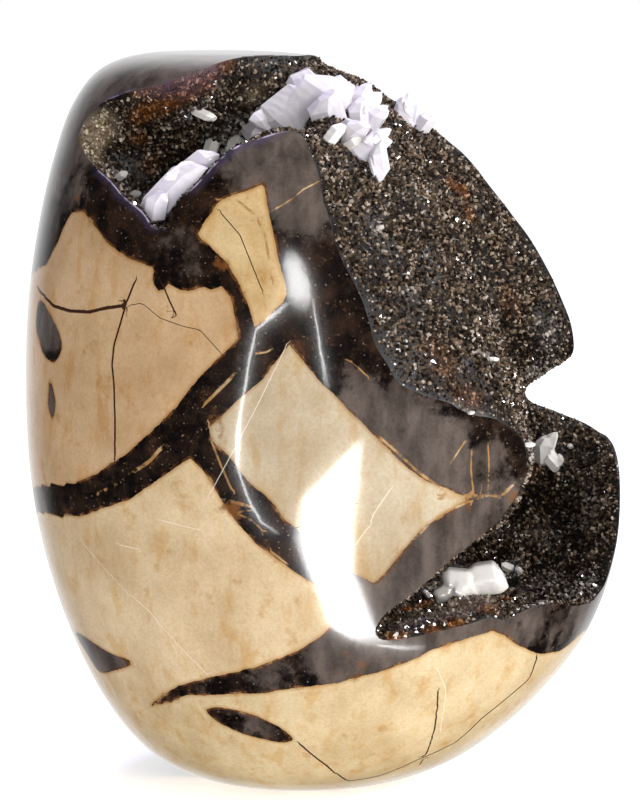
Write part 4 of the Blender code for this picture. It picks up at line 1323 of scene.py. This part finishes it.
class NODULE_OT_stone(bpy.types.Operator):
    """Builds the polished stone with its hollows, and lays out its cells and veins"""
    bl_idname = "nodule.stone"
    bl_label = "Stone"

    def execute(self, context):
        size = context.scene.nodule_stone
        outside = egg(size.sides, size.levels)
        egg_tree = tree_of(outside)
        air = hollow(egg_tree, size.wall_grain / MM, size.wall_inset / MM)
        stone_paint = polished_stone()
        wall_paint = druse_paint("druse_bed", "#0d0907", "#33251a", 0.5)
        for piece, index in ((outside, 0), (air, 1)):
            piece.data.materials.clear()
            piece.data.materials.append(stone_paint)
            piece.data.materials.append(wall_paint)
            piece.data.polygons.foreach_set("material_index", [index] * len(piece.data.polygons))
        boolean(outside, air, "DIFFERENCE", "MANIFOLD")
        remove(air)
        outside.name = outside.data.name = "stone"
        put_fields(outside, egg_tree)
        self.put_wall_fields(outside, egg_tree)
        outside.data.shade_smooth()
        polish_normals(outside.data)
        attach(outside, "root")
        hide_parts("nodule")
        return {"FINISHED"}

    @staticmethod
    def put_wall_fields(stone, egg_tree):
        """Stores how deep each wall corner lies, what tints its crystals there and how large they are."""
        places, _ = as_arrays(stone.data)
        wall = tree_of(stone)
        deep = np.array([egg_tree.find_nearest(place)[3] / MM for place in places])
        put(stone.data, "deep", deep)
        for name, spots in (("limonite", LIMONITE), ("pale", PALE_LUMPS), ("purple", PURPLE)):
            put(stone.data, name, nearness(places, wall, spots))
        frost = nearness(places, wall, FROST)
        put(stone.data, "frost", frost)
        bunches = np.array([noise.noise(Vector(place) / (BUNCH_SPACING * MM)) for place in places])
        near_rim = np.clip(RIM_SIZE + deep / FULL_DEPTH, 0, 1)
        varied = np.clip(1.0 + BUNCH_GAIN * bunches + FROST_GAIN * frost, *BUNCH_SIZES)
        put(stone.data, "grow", near_rim * varied)
        put(stone.data, "shade", np.full(len(places), BED_SHADE))


class NODULE_OT_druse(bpy.types.Operator):
    """Covers the hollows' walls with small smoky crystals"""
    bl_idname = "nodule.druse"
    bl_label = "Druse"

    def execute(self, context):
        size = context.scene.nodule_druse
        stone = bpy.data.objects["stone"]
        paint = druse_paint("smoky_druse", "#1a120d", "#c0a68a", 0.12)
        tree = druse_tree()
        settings = {"Spacing": size.spacing, "Width": size.width, "Height": size.height, "Lean": size.lean}
        parts = {
            "druse_pit": in_pit,
            "druse_upper": lambda x, z: z > UPPER_HEIGHT and not in_pit(x, z),
            "druse_middle": lambda x, z: LOWER_HEIGHT < z <= UPPER_HEIGHT,
            "druse_lower": lambda x, z: z <= LOWER_HEIGHT,
        }
        for count, (name, keeps) in enumerate(parts.items()):
            skin = wall_copy(stone, name, keeps)
            carpeted(skin, tree, {**settings, "Seed": size.seed + count}, paint)
            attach(skin, "root")
            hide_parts("druse")
        return {"FINISHED"}


class NODULE_OT_calcite(bpy.types.Operator):
    """Grows the clear calcite crystals and the small loose ones"""
    bl_idname = "nodule.calcite"
    bl_label = "Calcite"

    def execute(self, context):
        size = context.scene.nodule_calcite
        clear = clear_calcite("clear_calcite_spar", size.tint, 0.22, 0.08, 6.0)
        milky = clear_calcite("milky_calcite_spar", "#ece6dc", 0.15, 0.2, 10.0)
        for seed, (name, tablets) in enumerate(CRYSTALS.items()):
            piece = grown(name + "_spar", tablets, size.spurs, seed)
            if name == "calcite_knob":
                evened(piece, KNOB_GRAIN, KNOB_WEAR)
            self.finish(piece, size.bevel, milky if name in ("calcite_knob", "calcite_wall") else clear)
            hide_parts(name)
        chips = self.chips()
        self.finish(chips, size.bevel / 3, milky)
        return {"FINISHED"}

    @staticmethod
    def finish(piece, wear, paint):
        """Wears the edges, paints the piece and puts it on the stone's body."""
        worn = piece.modifiers.new("worn_edges", "BEVEL")
        worn.width = wear
        worn.segments = 1
        worn.limit_method = "ANGLE"
        baked(piece)
        piece.data.materials.clear()
        piece.data.materials.append(paint)
        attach(piece, "root")

    @staticmethod
    def chips():
        """The small loose crystals, each on the wall where the photograph shows it."""
        tree = tree_of(bpy.data.objects["stone"])
        whole = None
        for x, y, width, thickness, length, right, up in CHIPS:
            start, way = sight((x, y))
            place, normal = tree.ray_cast(start, way)[:2]
            if place is None:
                raise RuntimeError(f"no wall behind the loose crystal at {x}, {y}")
            lean = Euler((math.radians(up), math.radians(right), 0.0)).to_quaternion()
            turn = normal.to_track_quat("Z", "Y") @ lean
            centre = (place - SHIFT) / MM + turn @ Vector((0.0, 0.0, length * CHIP_RAISED))
            degrees = tuple(math.degrees(t) for t in turn.to_euler())
            chip = tablet("chip", tuple(centre), (width, thickness, length), degrees)
            if whole is None:
                whole = chip
                whole.name = "calcite_chips"
            else:
                boolean(whole, chip, "UNION")
                remove(chip)
        return whole


class NODULE_OT_stage(bpy.types.Operator):
    """Adds the floor, the soft light and the camera"""
    bl_idname = "nodule.stage"
    bl_label = "Stage"

    def execute(self, context):
        size = context.scene.nodule_stage
        self.floor(size)
        self.surroundings(context, size)
        mirror = egg(*MIRROR_EGG)
        tree = tree_of(mirror)
        remove(mirror)
        self.card(tree, "window_card", WINDOW_IMAGE, size.window)
        self.card(tree, "glare_card", GLARE_IMAGE, size.window * CARD_SHARES["glare"])
        for count, (width, line) in enumerate(LINE_IMAGES):
            self.card(tree, f"line_card_{count}", self.along(line, width), size.window * CARD_SHARES["line"])
        for name, place, target, width, share, tint, mirrored in LIGHTS:
            self.light(name, place, target, width, size.fill * share, tint, mirrored)
        camera = bpy.data.objects.new("camera", bpy.data.cameras.new("camera"))
        camera.data.lens = PHOTO_LENS
        camera.data.sensor_width = PHOTO_SENSOR
        camera.location = Vector(PHOTO_PLACE) * MM
        way = Vector(PHOTO_TARGET) - Vector(PHOTO_PLACE)
        camera.rotation_euler = way.to_track_quat("-Z", "Y").to_euler()
        context.scene.collection.objects.link(camera)
        context.scene.camera = camera
        context.scene.view_settings.view_transform = "Standard"
        return {"FINISHED"}

    @staticmethod
    def floor(size):
        """A plain pale floor, far larger than the stone."""
        corners = [(x * FLOOR_REACH, y * FLOOR_REACH, 0) for x, y in ((-1, -1), (1, -1), (1, 1), (-1, 1))]
        floor = new_object("floor", corners, [(0, 1, 2, 3)])
        paint, _, shader = new_paint("pale_lit_card_floor")
        shader.inputs["Base Color"].default_value = colour(size.floor)
        shader.inputs["Roughness"].default_value = 0.7
        shader.inputs["Emission Color"].default_value = colour("#ffffff")
        shader.inputs["Emission Strength"].default_value = size.floor_glow
        floor.data.materials.append(paint)
        floor.visible_glossy = False

    @staticmethod
    def surroundings(context, size):
        """A white studio that is darker in front, behind the camera, where the polish would mirror it."""
        world = bpy.data.worlds.new("studio")
        world.use_nodes = True
        context.scene.world = world
        tree = world.node_tree
        way = node(tree, "ShaderNodeTexCoord").outputs["Generated"]
        front = node(tree, "ShaderNodeSeparateXYZ", Vector=way).outputs["Y"]
        low, high = MIRRORED_SKY
        share = node(tree, "ShaderNodeMapRange", {"interpolation_type": "SMOOTHSTEP"}, Value=front,
                     From_Min=low, From_Max=high, To_Min=DARK_SKY, To_Max=1.0).outputs[0]
        path = node(tree, "ShaderNodeLightPath")
        glossy, seen = path.outputs["Is Glossy Ray"], path.outputs["Is Camera Ray"]
        mirrored = node(tree, "ShaderNodeMix", i0=glossy, i2=size.sky, i3=share).outputs[0]
        strength = node(tree, "ShaderNodeMix", i0=seen, i2=mirrored, i3=SEEN_SKY).outputs[0]
        tree.links.new(strength, tree.nodes["Background"].inputs["Strength"])
        tree.nodes["Background"].inputs["Color"].default_value = colour("#ffffff")

    @staticmethod
    def along(line, width):
        """The rows across a narrow image, from its middle line and its width."""
        rows = []
        for k, (x, y) in enumerate(line):
            before, after = line[max(k - 1, 0)], line[min(k + 1, len(line) - 1)]
            run = Vector((after[0] - before[0], after[1] - before[1])).normalized() * (width / 2)
            rows.append([(x + run.y, y - run.x), (x - run.y, y + run.x)])
        return rows

    @staticmethod
    def card(tree, name, image, strength):
        """A glowing card in front of the stone, whose mirror image is where the list says and fades out."""
        corners = []
        glows = []
        for count, (left, right) in enumerate(image):
            for share, glow in ((0.0, 0.0), (CARD_FADE, 1.0), (1 - CARD_FADE, 1.0), (1.0, 0.0)):
                pixel = [a + (b - a) * share for a, b in zip(left, right)]
                start, way = sight(pixel)
                place, normal = tree.ray_cast(start, way)[:2]
                mirrored = way - 2 * way.dot(normal) * normal
                reach = (CARD_FRONT * MM - place.y) / mirrored.y
                corners.append((place + mirrored * reach - SHIFT) / MM)
                glows.append(0.0 if count in (0, len(image) - 1) else glow)
        faces = [(k, k + 1, k + 5, k + 4) for k in range(len(corners) - 4) if k % 4 != 3]
        card = new_object(name, corners, faces)
        put(card.data, "glow", glows)
        paint = bpy.data.materials.new(name)
        paint.use_nodes = True
        glow = paint.node_tree
        glow.nodes.remove(glow.nodes["Principled BSDF"])
        shape = node(glow, "ShaderNodeAttribute", {"attribute_name": "glow"}).outputs["Fac"]
        soft = node(glow, "ShaderNodeMath", {"operation": "MULTIPLY"}, i0=shape, i1=strength).outputs[0]
        light = node(glow, "ShaderNodeEmission", Color=colour("#ffffff"), Strength=soft)
        glow.links.new(light.outputs[0], glow.nodes["Material Output"].inputs["Surface"])
        card.data.materials.append(paint)
        card.visible_camera = False
        card.visible_diffuse = False
        card.visible_shadow = False
        card.visible_transmission = False

    @staticmethod
    def light(name, place, target, width, power, tint, glossy=True):
        """A square soft light, in the tables' millimetres."""
        lamp = bpy.data.lights.new(name, "AREA")
        lamp.size = width * MM
        lamp.energy = power
        lamp.color = colour(tint)[:3]
        made = bpy.data.objects.new(name, lamp)
        made.location = Vector(place) * MM
        made.rotation_euler = (Vector(target) - Vector(place)).to_track_quat("-Z", "Y").to_euler()
        made.visible_glossy = glossy
        made.visible_camera = False
        bpy.context.scene.collection.objects.link(made)


class NODULE_PT_panel(bpy.types.Panel):
    """Lists the nodule's pieces and their sizes"""
    bl_idname = "NODULE_PT_panel"
    bl_label = "Septarian nodule"
    bl_space_type = "VIEW_3D"
    bl_region_type = "UI"
    bl_category = "Nodule"

    def draw(self, context):
        for operator, settings in STEPS:
            group = getattr(context.scene, settings)
            box = self.layout.box()
            box.operator(operator.bl_idname)
            for key in group.bl_rna.properties.keys():
                if key not in ("rna_type", "name"):
                    box.prop(group, key)


STEPS = (
    (NODULE_OT_stone, "nodule_stone"),
    (NODULE_OT_druse, "nodule_druse"),
    (NODULE_OT_calcite, "nodule_calcite"),
    (NODULE_OT_stage, "nodule_stage"),
)
GROUPS = {
    "nodule_stone": NoduleStone,
    "nodule_druse": NoduleDruse,
    "nodule_calcite": NoduleCalcite,
    "nodule_stage": NoduleStage,
}


def register():
    for group in GROUPS.values():
        bpy.utils.register_class(group)
    for operator, _ in STEPS:
        bpy.utils.register_class(operator)
    bpy.utils.register_class(NODULE_PT_panel)
    for name, group in GROUPS.items():
        setattr(bpy.types.Scene, name, bpy.props.PointerProperty(type=group))


def unregister():
    for name in GROUPS:
        delattr(bpy.types.Scene, name)
    bpy.utils.unregister_class(NODULE_PT_panel)
    for operator, _ in STEPS:
        bpy.utils.unregister_class(operator)
    for group in GROUPS.values():
        bpy.utils.unregister_class(group)


def main():
    register()
    bpy.ops.nodule.stone()
    bpy.ops.nodule.druse()
    bpy.ops.nodule.calcite()
    bpy.ops.nodule.stage()


if __name__ == "__main__":
    main()
